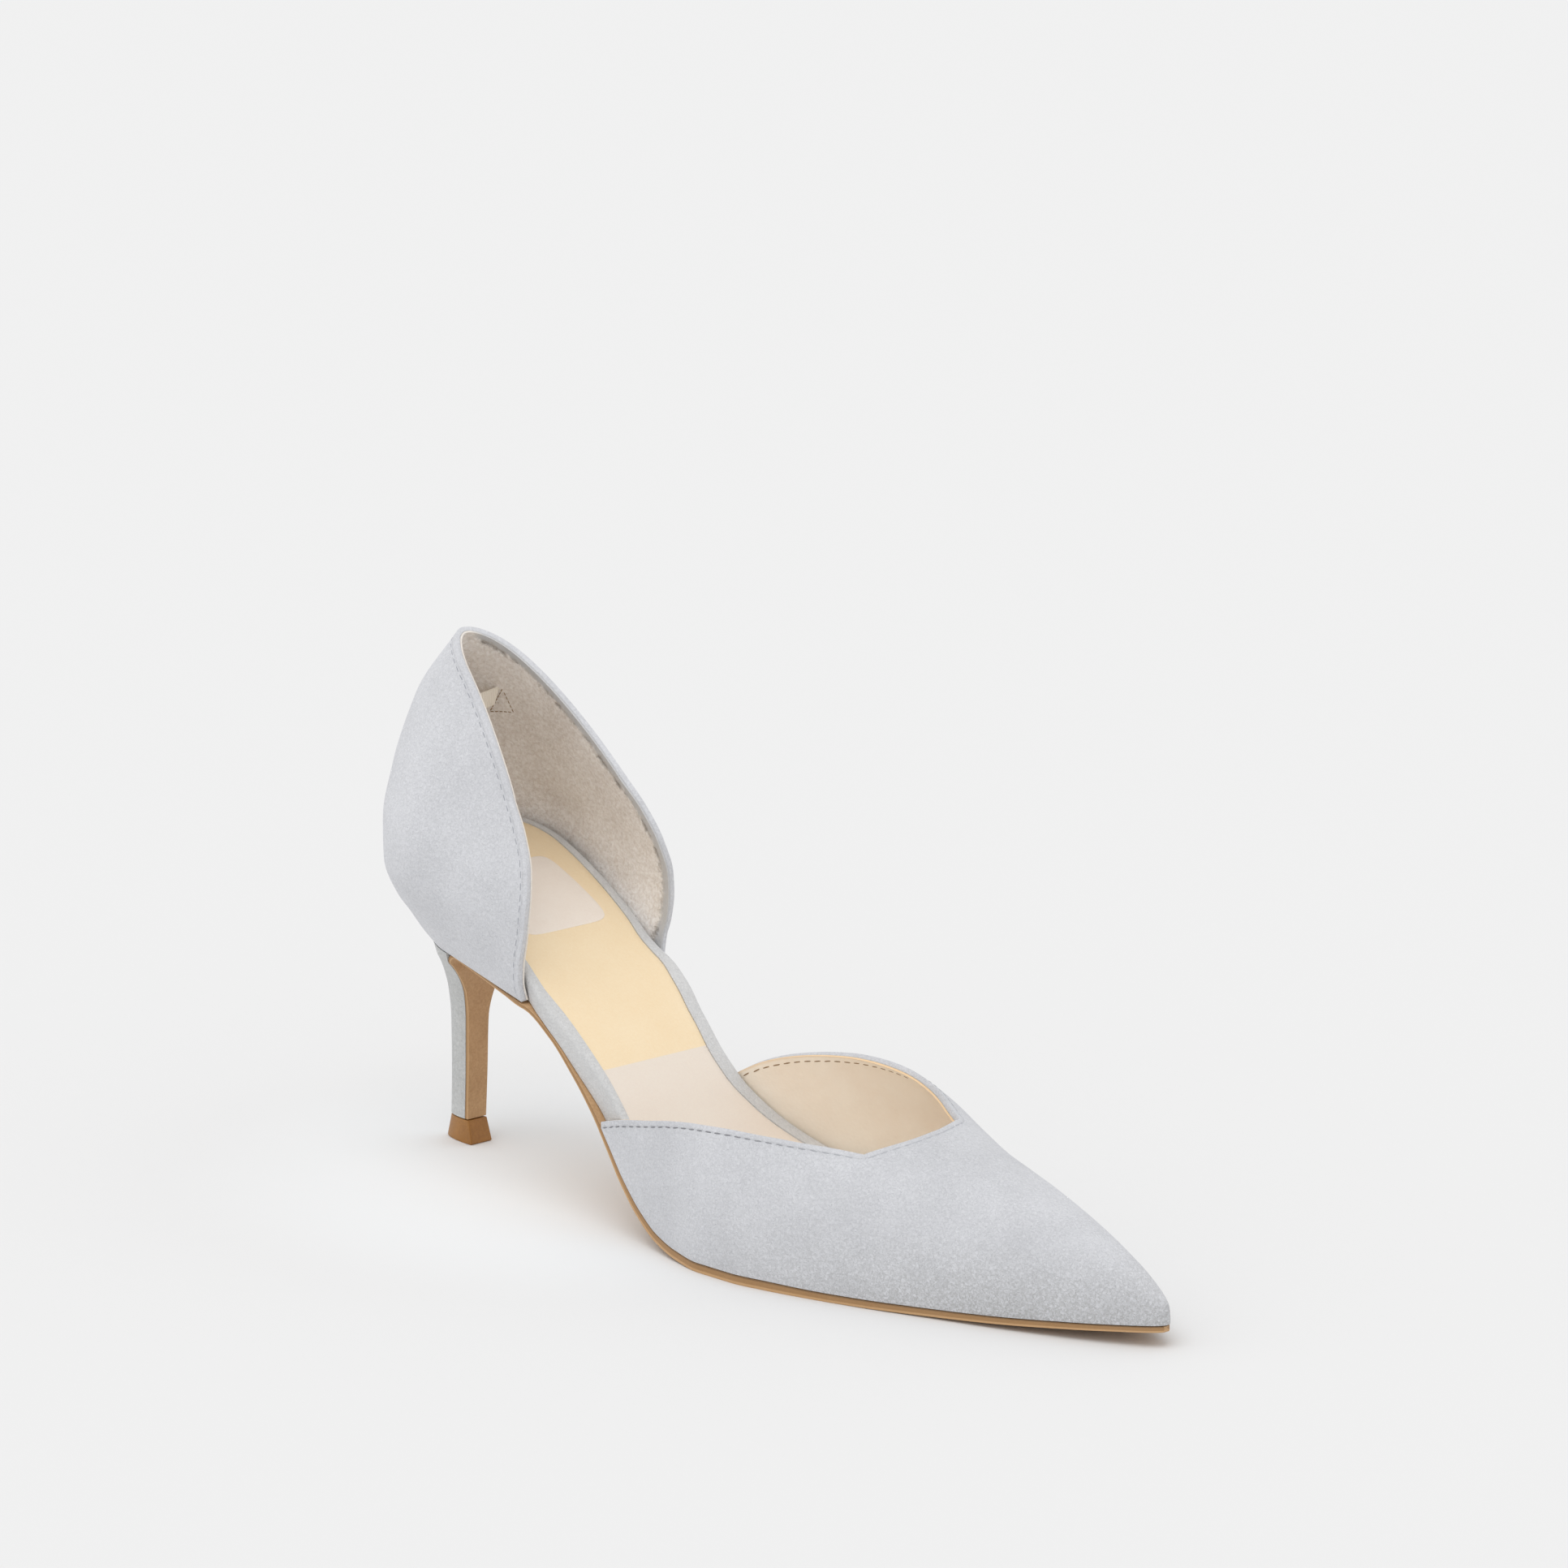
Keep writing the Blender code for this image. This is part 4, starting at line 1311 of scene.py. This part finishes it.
@dataclass
class Vamp:
    """The pointed vamp: suede over a coated lining, with a stitched top edge."""

    last: Last
    wing_rows: int = 66
    toe_rows: int = 58
    toe_lean: float = 1.6
    side_columns: int = 24
    throat_columns: int = 22
    wall: LinedWall = LinedWall()
    lining_end: float = 226.0
    inside: Point = (180.0, 0.0, 12.0)

    def stations(self) -> list[float]:
        """Give the places along the vamp."""
        rows = spread(self.last.wing_end, self.last.throat, self.wing_rows)
        return rows + spread(self.last.throat, self.last.length, self.toe_rows, self.toe_lean)[1:]

    def side_sheet(self, side: Side) -> bpy.types.Object:
        """Lay the sheet of one wing and side.

        Args:
            side: The side of the shoe.

        Returns:
            The open sheet.
        """
        stations = self.stations()
        last = len(stations) - 1

        def place(u: float, v: float) -> Point:
            """Give a point from the shares along the shoe and up to the top edge."""
            x = stations[round(u * last)]
            turn = self.last.edge_angle(x, side) * v
            angle = turn if side is Side.LATERAL else pi - turn
            return self.last.to_row(self.last.vamp_point(x, angle))

        return add_sheet("vamp_" + side.value, last, self.side_columns, place)

    def throat_sheet(self) -> bpy.types.Object:
        """Lay the sheet from the throat to the toe.

        Returns:
            The open sheet.
        """
        stations = self.stations()[self.wing_rows:]

        def place(u: float, v: float) -> Point:
            """Give a point from the shares along the shoe and across it."""
            return self.last.to_row(self.last.throat_point(stations[round(u * self.toe_rows)], v))

        return add_sheet("vamp_throat", self.toe_rows, self.throat_columns, place)

    def edges(self, steps: int = 220) -> list[list[Point]]:
        """Give the lateral, medial and throat parts of the top edge.

        Args:
            steps: Steps in each part.

        Returns:
            Three lines of points in the row frame.
        """
        last = self.last
        places = spread(last.wing_end, last.throat, steps)
        lines = [[last.to_row(last.topline_point(x, side)) for x in places] for side in Side]
        throat = [last.to_row(last.throat_point(last.throat, k / steps)) for k in range(steps + 1)]
        return [*lines, throat]

    def build(self, suede: bpy.types.Material, lining: bpy.types.Material, thread: bpy.types.Material,
              inner_thread: bpy.types.Material) -> None:
        """Build the shell, its lining and its stitches.

        Args:
            suede: The outer finish.
            lining: The inner finish.
            thread: The finish of the stitches outside.
            inner_thread: The finish of the stitches inside.
        """
        shell = join("vamp_suede", [self.side_sheet(Side.LATERAL), self.side_sheet(Side.MEDIAL),
                                    self.throat_sheet()])
        lines = self.edges()
        cut = self.last.to_row((self.lining_end, 0.0, 0.0))
        inner = self.wall.raise_from(shell, "vamp_lining", self.last.to_row(self.inside), lines, cut)
        dress(shell, suede, Slot.SUEDE, ["vamp"])
        dress(inner, lining, Slot.SOCK)
        dress(Thread().sew("vamp_side_stitches", shell, lines[:2], DOWN), thread)
        dress(Thread().sew("vamp_throat_stitches", shell, lines[2:], AHEAD), thread)
        behind = self.wall.gap + 2.0 * self.wall.lining
        dress(Thread().sew("vamp_lining_stitches", inner, lines[:2], DOWN, behind), inner_thread)


@dataclass
class BackQuarter:
    """The leaf-shaped back quarter: suede over a microsuede lining."""

    last: Last
    rows: int = 64
    columns: int = 60
    lean: float = 1.7
    wall: LinedWall = LinedWall()
    inside: Point = (40.0, 0.0, 75.0)
    seam: Thread = Thread(inset=1.9, thick=0.34)
    inset_way: Point = (-0.8, 0.0, -0.6)

    def sheet(self) -> bpy.types.Object:
        """Lay the sheet from one front edge round the back to the other.

        Returns:
            The open sheet.
        """

        def place(u: float, v: float) -> Point:
            """Give a point from the shares around the heel and up to the rim."""
            j = round(u * 2 * self.columns) - self.columns
            share = (abs(j) / self.columns) ** self.lean
            side = Side.LATERAL if j < 0 else Side.MEDIAL
            row = round(v * self.rows) / self.rows
            return self.last.to_row(self.last.quarter_point(row, share, side))

        return add_sheet("back_quarter_suede", 2 * self.columns, self.rows, place)

    def edges(self, steps: int = 240) -> list[list[Point]]:
        """Give the rim on each side: over the top, then down the front edge.

        Args:
            steps: Steps in each part.

        Returns:
            A line of points for each side, in the row frame.
        """
        lines = []
        for side in Side:
            rim = [(1.0, (k / steps) ** self.lean) for k in range(steps + 1)]
            front = [(1.0 - k / steps, 1.0) for k in range(1, steps + 1)]
            lines.append([self.last.to_row(self.last.quarter_point(row, share, side))
                          for row, share in rim + front])
        return lines

    def build(self, suede: bpy.types.Material, lining: bpy.types.Material,
              thread: bpy.types.Material) -> bpy.types.Object:
        """Build the shell, its lining and its stitches.

        Args:
            suede: The outer finish.
            lining: The inner finish.
            thread: The stitches' finish.

        Returns:
            The lining.
        """
        shell, lines = self.sheet(), self.edges()
        inner = self.wall.raise_from(shell, "back_quarter_lining", self.last.to_row(self.inside), lines)
        dress(shell, suede, Slot.SUEDE, ["back_quarter"])
        dress(inner, lining, Slot.SOCK)
        dress(self.seam.sew("back_quarter_stitches", shell, lines, self.inset_way), thread)
        return inner


@dataclass
class Insole:
    """The wrapped insole, with a bed for the sock."""

    last: Last
    thick: float = 4.6
    roundness: float = 1.5
    proud: float = 0.3
    sock_thick: float = 0.8
    draft: float = 3.6
    draft_end: float = 51.0
    bed_gap: float = 0.08
    draft_share: float = 0.3
    round_share: float = 0.8
    setback: float = 8.0
    sock_setback: float = 12.0
    end_step: float = 1.0
    rows: int = 130
    lean: float = 1.35
    corner: int = 5
    across: int = 8

    def under(self, x: float, y: float) -> float:
        """Give the height of the lower face, on the heel seat or the sole.

        Args:
            x: The place along the shoe.
            y: The place across it.

        Returns:
            The height.
        """
        last = self.last
        mix = ease(last.cup_front - last.cup_blend, last.cup_front, x)
        on_seat = last.footbed_height(x, y) - self.thick
        return on_seat + (last.sole_top(x) + last.clearance - on_seat) * mix

    def stations(self) -> list[float]:
        """Give the places along the sock, closer together in the heel cup.

        Returns:
            The places, rising.
        """
        low = self.last.cup_back + self.last.curves["lateral_margin"](0.0) + 0.5 * self.last.clearance
        high = self.last.length - self.sock_setback
        return [low + (high - low) * (i / self.rows) ** self.lean for i in range(self.rows + 1)]

    def ring(self, x: float, bed: float) -> list[Point]:
        """Give a section: flat below, rounded rims, a bed for the sock.

        Args:
            x: The place along the shoe.
            bed: The depth of the bed.

        Returns:
            The ring in the row frame.
        """
        last = self.last
        low, high = last.footbed_edges(x)
        inner_low, inner_high = last.sock_edges(x, self.bed_gap)
        draft = self.draft * (1.0 - ease(self.draft_end, last.cup_front + last.cup_blend, x))
        draft = min(draft, self.draft_share * (high - low))
        rims = (inner_low - low, high - inner_high)
        edge = min(self.roundness, self.round_share * min(rims))
        ring = [(x, low + draft, self.under(x, low)), (x, high - draft, self.under(x, high))]
        turns = [0.5 * pi * k / self.corner for k in range(self.corner + 1)]

        def rim(y: float, drop: float = 0.0) -> None:
            """Add a point of the upper face, lowered by a drop."""
            ring.append((x, y, last.footbed_height(x, y) + self.proud - drop))

        for turn in turns:
            rim(high - edge * (1.0 - cos(turn)), edge * (1.0 - sin(turn)))
        rim(inner_high)
        for k in range(self.across + 1):
            rim(inner_high + (inner_low - inner_high) * k / self.across, bed)
        rim(inner_low)
        for turn in reversed(turns):
            rim(low + edge * (1.0 - cos(turn)), edge * (1.0 - sin(turn)))
        return [last.to_row(point) for point in ring]

    def build(self, suede: bpy.types.Material) -> None:
        """Build the insole in its suede wrap.

        Args:
            suede: The finish.
        """
        last = self.last
        bed = self.proud + self.sock_thick + last.clearance
        back = last.cup_back + last.curves["lateral_margin"](0.0) - last.clearance
        front = last.length - self.sock_setback
        rings = [self.ring(last.cup_back + 0.5 * last.clearance, 0.0), self.ring(back, 0.0)]
        rings += [self.ring(x, bed) for x in self.stations()]
        rings += [self.ring(x, 0.0) for x in (front + self.end_step, last.length - self.setback)]
        piece = close_ring_loft("insole_wrap", rings)
        smooth_shade(piece)
        dress(piece, suede, Slot.SUEDE, ["insole"])


@dataclass
class SockLiner:
    """The two-tone sock with a plain heel patch."""

    last: Last
    insole: Insole
    across: int = 20
    edge_round: float = 0.25
    patch_from: float = 29.0
    patch_to: float = 52.0
    patch_half: float = 13.0
    patch_corner: float = 8.0
    patch_thick: float = 0.25
    patch_sunk: float = 0.1
    patch_round: float = 0.1
    patch_grid: tuple[int, int] = (48, 28)
    below: Point = (30.0, 0.0, 20.0)
    sharp: float = 60.0

    def build(self, satin: bpy.types.Material, patch_leather: bpy.types.Material) -> None:
        """Build the sock and the patch.

        Args:
            satin: The sock's finish.
            patch_leather: The patch's finish.
        """
        last = self.last
        rings = []
        end = last.length - self.insole.sock_setback - last.clearance
        for x in self.insole.stations()[:-1] + [end]:
            low, high = last.sock_edges(x)
            places = [low + (high - low) * k / self.across for k in range(self.across + 1)]
            under = [(x, y, last.footbed_height(x, y) - self.insole.sock_thick) for y in places]
            over = [(x, y, last.footbed_height(x, y)) for y in places[::-1]]
            rings.append([last.to_row(point) for point in under + over])
        sock = close_ring_loft("sock_leather", rings)
        round_edges(sock, self.edge_round, 2, self.sharp)
        smooth_shade(sock)
        dress(sock, satin, Slot.SOCK, ["sock_liner"])
        patch = add_sheet("heel_patch", *self.patch_grid, self.patch_place)
        weld(patch)
        face_away(patch, last.to_row(self.below))
        use_modifier(patch, "SOLIDIFY", thickness=self.patch_thick * MM, offset=-1.0)
        round_edges(patch, self.patch_round, 2, self.sharp)
        smooth_shade(patch)
        dress(patch, patch_leather, Slot.SOCK)

    def patch_place(self, u: float, v: float) -> Point:
        """Give a point of the patch, a rectangle with rounded corners laid on the sock.

        Args:
            u: The share along it.
            v: The share across it.

        Returns:
            The point in the row frame.
        """
        a, b = 2.0 * u - 1.0, 2.0 * v - 1.0
        power = self.patch_corner
        whole = (abs(a) ** power + abs(b) ** power) ** (1.0 / power)
        pull = max(abs(a), abs(b)) / whole if whole > 0.0 else 0.0
        middle, half = 0.5 * (self.patch_from + self.patch_to), 0.5 * (self.patch_to - self.patch_from)
        x, y = middle + half * a * pull, self.patch_half * b * pull
        height = self.last.footbed_height(x, y) + self.patch_thick - self.patch_sunk
        return self.last.to_row((x, y, height))


@dataclass
class Outsole:
    """The leather outsole in one with the flap down the heel breast."""

    last: Last
    inset: float = 0.2
    tip_setback: float = 0.4
    breast_round: float = 4.0
    flap_gap: float = 0.08
    edge_round: float = 0.18
    rows: int = 150
    lean: float = 1.15
    turn: int = 12
    flap_rows: int = 30

    ACROSS = 10
    THROUGH = 4
    SHARP = 0.001
    BANDS = ((0.0, "shade"), (0.2, "edge"), (0.62, "edge"), (0.72, "rim"), (1.0, "rim"))

    @classmethod
    def band_stops(cls) -> list[tuple[float, str]]:
        """Give the bands around the section: face, edge with its rim, face, edge with its rim.

        Returns:
            Shares of the way around, each with the name of its colour.
        """
        total = 2 * (cls.ACROSS + cls.THROUGH)
        first, side = cls.ACROSS / total, cls.THROUGH / total
        second = first + side + first
        near = [(first + share * side, tint) for share, tint in cls.BANDS]
        far = [(second + (1.0 - share) * side, tint) for share, tint in cls.BANDS[::-1]]
        faces = [(at, "face") for at in (first - cls.SHARP, first + side + cls.SHARP, second - cls.SHARP)]
        return [faces[0], *near, *faces[1:], *far]

    def path(self) -> list[tuple[float, float, float, float, float]]:
        """Give the stations of the upper face: x, z, lateral y, medial y, thickness.

        Returns:
            The stations from the toe to the top lift.
        """
        last, heel = self.last, self.last.heel
        level = last.sole_top(last.seat_front)
        turn_low = level - self.breast_round
        breast = heel["front"](turn_low) + last.clearance
        stations = []
        low = high = 0.0
        turn, tip = breast + self.breast_round, last.length - self.tip_setback
        for x in spread(turn, tip, self.rows, self.lean)[::-1]:
            low, high = last.bottom_edges(x, self.inset)
            stations.append((x, last.sole_top(x), low, high, last.curves["thick"](x)))
        beyond = [edge - last.breast_half(level) for edge in (-low, high)]
        for i in range(1, self.turn):
            share = i / self.turn
            x = breast + self.breast_round * (1.0 - sin(0.5 * pi * share))
            z = level - self.breast_round * (1.0 - cos(0.5 * pi * share))
            wide = [last.breast_half(z) + more * (1.0 - share) for more in beyond]
            stations.append((x, z, -wide[0], wide[1], last.flap_thick))
        for z in spread(last.lift_height + last.clearance, turn_low, self.flap_rows)[::-1]:
            close = ease(turn_low, turn_low - self.breast_round, z)
            gap = last.clearance + (self.flap_gap - last.clearance) * close
            wide = last.breast_half(z)
            stations.append((heel["front"](z) + gap, z, -wide, wide, last.flap_thick))
        return stations

    def build(self, leather: bpy.types.Material) -> None:
        """Build the outsole.

        Args:
            leather: The finish.
        """
        path = self.path()
        rings = []
        for i, (x, z, low, high, thick) in enumerate(path):
            before, after = path[max(i - 1, 0)], path[min(i + 1, len(path) - 1)]
            along = np.array((after[0] - before[0], after[1] - before[1]))
            along *= thick / np.linalg.norm(along)

            def corner(share: float, depth: float) -> Point:
                """Give a point of the section from the shares across and through it."""
                y = low + (high - low) * share
                return self.last.to_row((x - along[1] * depth, y, z + along[0] * depth))

            ring = [corner(k / self.ACROSS, 0.0) for k in range(self.ACROSS)]
            ring += [corner(1.0, k / self.THROUGH) for k in range(self.THROUGH)]
            ring += [corner(1.0 - k / self.ACROSS, 1.0) for k in range(self.ACROSS)]
            ring += [corner(0.0, 1.0 - k / self.THROUGH) for k in range(self.THROUGH)]
            rings.append(ring)
        piece = close_ring_loft("outsole_leather", rings)
        round_edges(piece, self.edge_round, 2)
        smooth_shade(piece)
        dress(piece, leather, Slot.SOLE, ["outsole"])


@dataclass
class CoveredHeel:
    """The suede-covered heel with its moulded top lift."""

    last: Last
    insole: Insole
    block_front: float = 48.0
    block_inset: float = 3.4
    lift_flare: float = 1.1
    lift_chamfer: float = 0.3
    lift_side: float = 0.25
    lift_round: float = 0.25
    lift_rows: int = 6
    stem_rows: int = 60
    around: int = 24
    front_steps: int = 8
    lean: float = 1.6

    def ring(self, back: float, front: float, reach: float, half: float, front_half: float,
             height: Callable[[float], float]) -> list[Point]:
        """Give a ring with a rounded back and a straight front.

        Args:
            back: The x of the back.
            front: The x of the front.
            reach: The length of the rounded back.
            half: The half width of the rounded back.
            front_half: The half width at the front.
            height: The height along x.

        Returns:
            The ring in the row frame.
        """
        ring = []
        for j in range(-self.around, self.around + 1):
            share = (abs(j) / self.around) ** self.lean
            x = back + (front - back) * share
            y = half * rounded((x - back) / reach) + (front_half - half) * share
            ring.append((x, y if j > 0 else -y, height(x)))
        end = ring[-1][1]
        for k in range(1, self.front_steps):
            ring.append((front, end - 2.0 * end * k / self.front_steps, height(front)))
        return [self.last.to_row(point) for point in ring]

    def heel_rings(self) -> list[list[Point]]:
        """Give the rings of the heel: stem, seam and the seat block inside the quarter.

        Returns:
            The rings in the row frame, rising.
        """
        last, quarter = self.last, self.last.quarter
        rings = []
        high = HEEL["height"][-1] * last.heel_height / 100.0
        for z in spread(last.lift_height + last.clearance, high, self.stem_rows):
            back, front, bow, wide = (last.heel[name](z) for name in ("back", "front", "bow", "wide"))
            rings.append(self.ring(back, front, front - back, bow, wide, lambda x, z=z: z))
        back, reach, half = quarter["back"](0.0), quarter["reach"](0.0), quarter["wide"](0.0)
        rings.append(self.ring(back, last.seat_front, reach, half, last.seam_half(last.seat_front),
                               last.sole_top))
        inset = self.block_inset
        for front in (last.seat_front, self.block_front):
            rings.append(self.ring(back + inset, front, reach - inset, half - inset,
                                   last.seam_half(front) - inset,
                                   lambda x: last.sole_top(x) + last.clearance))
        inset = self.insole.draft + last.clearance
        end = last.footbed_edges(self.block_front)[1] - inset
        rings.append(self.ring(last.cup_back + inset, self.block_front, last.cup_reach - inset,
                               last.cup_half - inset, end,
                               lambda x: self.insole.under(x, 0.0) - last.clearance))
        return rings

    def lift_rings(self) -> list[list[Point]]:
        """Give the rings of the top lift, flared towards its tread.

        Returns:
            The rings in the row frame, rising.
        """
        heel, last = self.last.heel, self.last
        back, front, wide = (heel[name](last.lift_height) for name in ("back", "front", "wide"))
        front += last.clearance + last.flap_thick
        levels = [(0.0, self.lift_flare), (self.lift_chamfer, self.lift_flare + self.lift_chamfer)]
        for k in range(1, self.lift_rows + 1):
            share = k / self.lift_rows
            flare = (self.lift_flare + self.lift_chamfer) * (1.0 - share)
            levels.append((self.lift_chamfer + (last.lift_height - self.lift_chamfer) * share, flare))
        rings = []
        for z, flare in levels:
            half = wide + self.lift_side * flare
            rings.append(self.ring(back - flare, front + flare, front - back + 2.0 * flare, half, half,
                                   lambda x, z=z: z))
        return rings

    def build(self, suede: bpy.types.Material, moulded: bpy.types.Material) -> None:
        """Build the heel and the top lift.

        Args:
            suede: The heel's finish.
            moulded: The lift's finish.
        """
        heel = close_ring_loft("heel_cover", self.heel_rings())
        smooth_shade(heel)
        dress(heel, suede, Slot.SUEDE, ["heel"])
        lift = close_ring_loft("top_lift_moulding", self.lift_rings())
        round_edges(lift, self.lift_round)
        smooth_shade(lift)
        dress(lift, moulded, Slot.LIFT, ["top_lift"])


@dataclass
class HangLoop:
    """The ribbon that hangs across the back, with the stitches that hold its ends."""

    last: Last
    place: float = 16.0
    height: float = 102.2
    width: float = 4.2
    thick: float = 0.6
    span: float = 9.9
    slant: float = 0.8
    bow: float = 1.5
    sag: float = 1.6
    rows: int = 48
    edge_round: float = 0.15
    seam: Thread = Thread(pitch=1.15, stitch=1.0, thick=0.3, sunk=0.05, inset=0.0)
    corners: tuple[Point, ...] = ((17.4, 10.6, 105.8), (12.2, 11.5, 99.4), (18.1, 13.5, 99.9))

    def build(self, ribbon: bpy.types.Material, lining: bpy.types.Object,
              thread: bpy.types.Material) -> None:
        """Build the ribbon and the two triangles of stitches.

        Args:
            ribbon: The ribbon's finish.
            lining: The piece that the ends are sewn to.
            thread: The stitches' finish.
        """
        rings = []
        section = ((0.0, 0.0), (self.thick, 0.0), (self.thick, self.width), (0.0, self.width))
        for i in range(self.rows + 1):
            share = 2.0 * i / self.rows - 1.0
            slack = 1.0 - share * share
            ring = []
            for depth, level in section:
                x = self.place - self.bow * slack + depth
                z = self.height - self.sag * slack + level
                reach = self.span + self.slant * (2.0 * level / self.width - 1.0)
                ring.append(self.last.to_row((x, reach * share, z)))
            rings.append(ring)
        piece = close_ring_loft("hang_ribbon", rings)
        round_edges(piece, self.edge_round, 2)
        smooth_shade(piece)
        dress(piece, ribbon, Slot.RIBBON, ["hang_loop"])
        sides = []
        for side in Side:
            turned = [self.last.to_row((x, side.sign * y, z)) for x, y, z in self.corners]
            sides += [[start, end] for start, end in zip(turned, turned[1:] + turned[:1])]
        dress(self.seam.sew("loop_stitches", lining, sides, DOWN), thread)


@dataclass
class Studio:
    """Pale floor, soft light from above and the camera at the photo's angle."""

    azimuth: float = 48.0
    elevation: float = 16.0
    distance: float = 2.0
    target: Point = (-0.097187, -0.003985, 0.0)
    image: float = 1932.0
    focal: float = 10600.4
    aim: tuple[float, float] = (582.2, 1412.5)
    sensor: float = 36.0
    far: float = 100.0
    floor_size: float = 14.0
    sky: float = 0.87
    sun: float = 0.75
    sun_angle: float = 50.0
    sun_turn: tuple[float, float] = (18.0, 4.0)

    def build(self) -> None:
        """Build the floor, the light and the camera."""
        bpy.ops.object.select_all(action="DESELECT")
        bpy.ops.mesh.primitive_plane_add(size=self.floor_size)
        floor = bpy.context.object
        floor.name = "studio_floor"
        floor.data.materials.append(StudioPaper().make())
        world = bpy.data.worlds.new("studio")
        world.use_nodes = True
        sky = world.node_tree.nodes["Background"]
        sky.inputs["Color"].default_value = (1.0, 1.0, 1.0, 1.0)
        sky.inputs["Strength"].default_value = self.sky
        scene = bpy.context.scene
        scene.world = world
        scene.view_settings.view_transform = "Standard"
        lamp = bpy.data.lights.new("key_light", "SUN")
        lamp.energy = self.sun
        lamp.angle = radians(self.sun_angle)
        key = bpy.data.objects.new("key_light", lamp)
        key.rotation_euler = (radians(self.sun_turn[0]), radians(self.sun_turn[1]), 0.0)
        scene.collection.objects.link(key)
        self.place_camera(scene)

    def place_camera(self, scene: bpy.types.Scene) -> None:
        """Turn the camera so that the target falls on its pixel of the photo.

        Args:
            scene: The scene.
        """
        lens = bpy.data.cameras.new("camera")
        lens.sensor_width = self.sensor
        lens.lens = self.focal / self.image * self.sensor
        lens.clip_end = self.far
        turn, tilt = radians(self.azimuth), radians(self.elevation)
        away = Vector((sin(turn) * cos(tilt), -cos(turn) * cos(tilt), sin(tilt)))
        level = Vector((cos(turn), sin(turn), 0.0))
        beside, above = (0.5 * self.image - self.aim[0], self.aim[1] - 0.5 * self.image)
        back = (away - (level * beside + away.cross(level) * above) / self.focal).normalized()
        right = (level - back * level.dot(back)).normalized()
        camera = bpy.data.objects.new("camera", lens)
        place = Matrix((right, back.cross(right), back)).transposed().to_4x4()
        place.translation = Vector(self.target) + away * self.distance
        camera.matrix_world = place
        scene.collection.objects.link(camera)
        scene.camera = camera


def main() -> None:
    """Build the shoe and the studio."""
    logging.basicConfig(level=logging.INFO, format="%(message)s")
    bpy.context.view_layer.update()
    last = Last()
    suede = Suede().make()
    vamp_suede = Suede("deeper_blue_grey_suede", light="#dddee2", dark="#c0c1c5",
                       painted_low_shade="#a8a8a6").make()
    # The heel is covered in the same suede: this darker copy is painted shade for the heel, which stands
    # in shade
    heel_suede = Suede("heel_suede_painted_shade", light="#d2d3d2", dark="#b4b5b4", nap=0.8).make()
    cream = SatinCoat("cream_patch_leather", "#f4eadf", "#f0e4d8").make()
    caramel = SatinCoat("caramel_polyurethane", "#a87534", "#926128").make()
    dark_thread = SewingThread("dark_grey_thread", "#96969a", "#75757a", "#bfc1c6").make()
    pale_thread = SewingThread("pale_grey_thread", "#b2b4ba", "#94969d", "#b2b4ba").make()
    brown_thread = SewingThread("brown_thread", "#a98c69", "#80684c", "#a98c69").make()
    Vamp(last).build(vamp_suede, Leatherette().make(), dark_thread, brown_thread)
    lining = BackQuarter(last).build(suede, LiningSuede().make(), pale_thread)
    insole = Insole(last)
    insole.build(Suede("insole_wrap_suede", light="#dedede", dark="#c6c6c6").make())
    SockLiner(last, insole).build(SockSatin().make(), cream)
    Outsole(last).build(SoleLeather().make())
    CoveredHeel(last, insole).build(heel_suede, caramel)
    HangLoop(last).build(Ribbon().make(), lining, brown_thread)
    Studio().build()


if __name__ == "__main__":
    main()
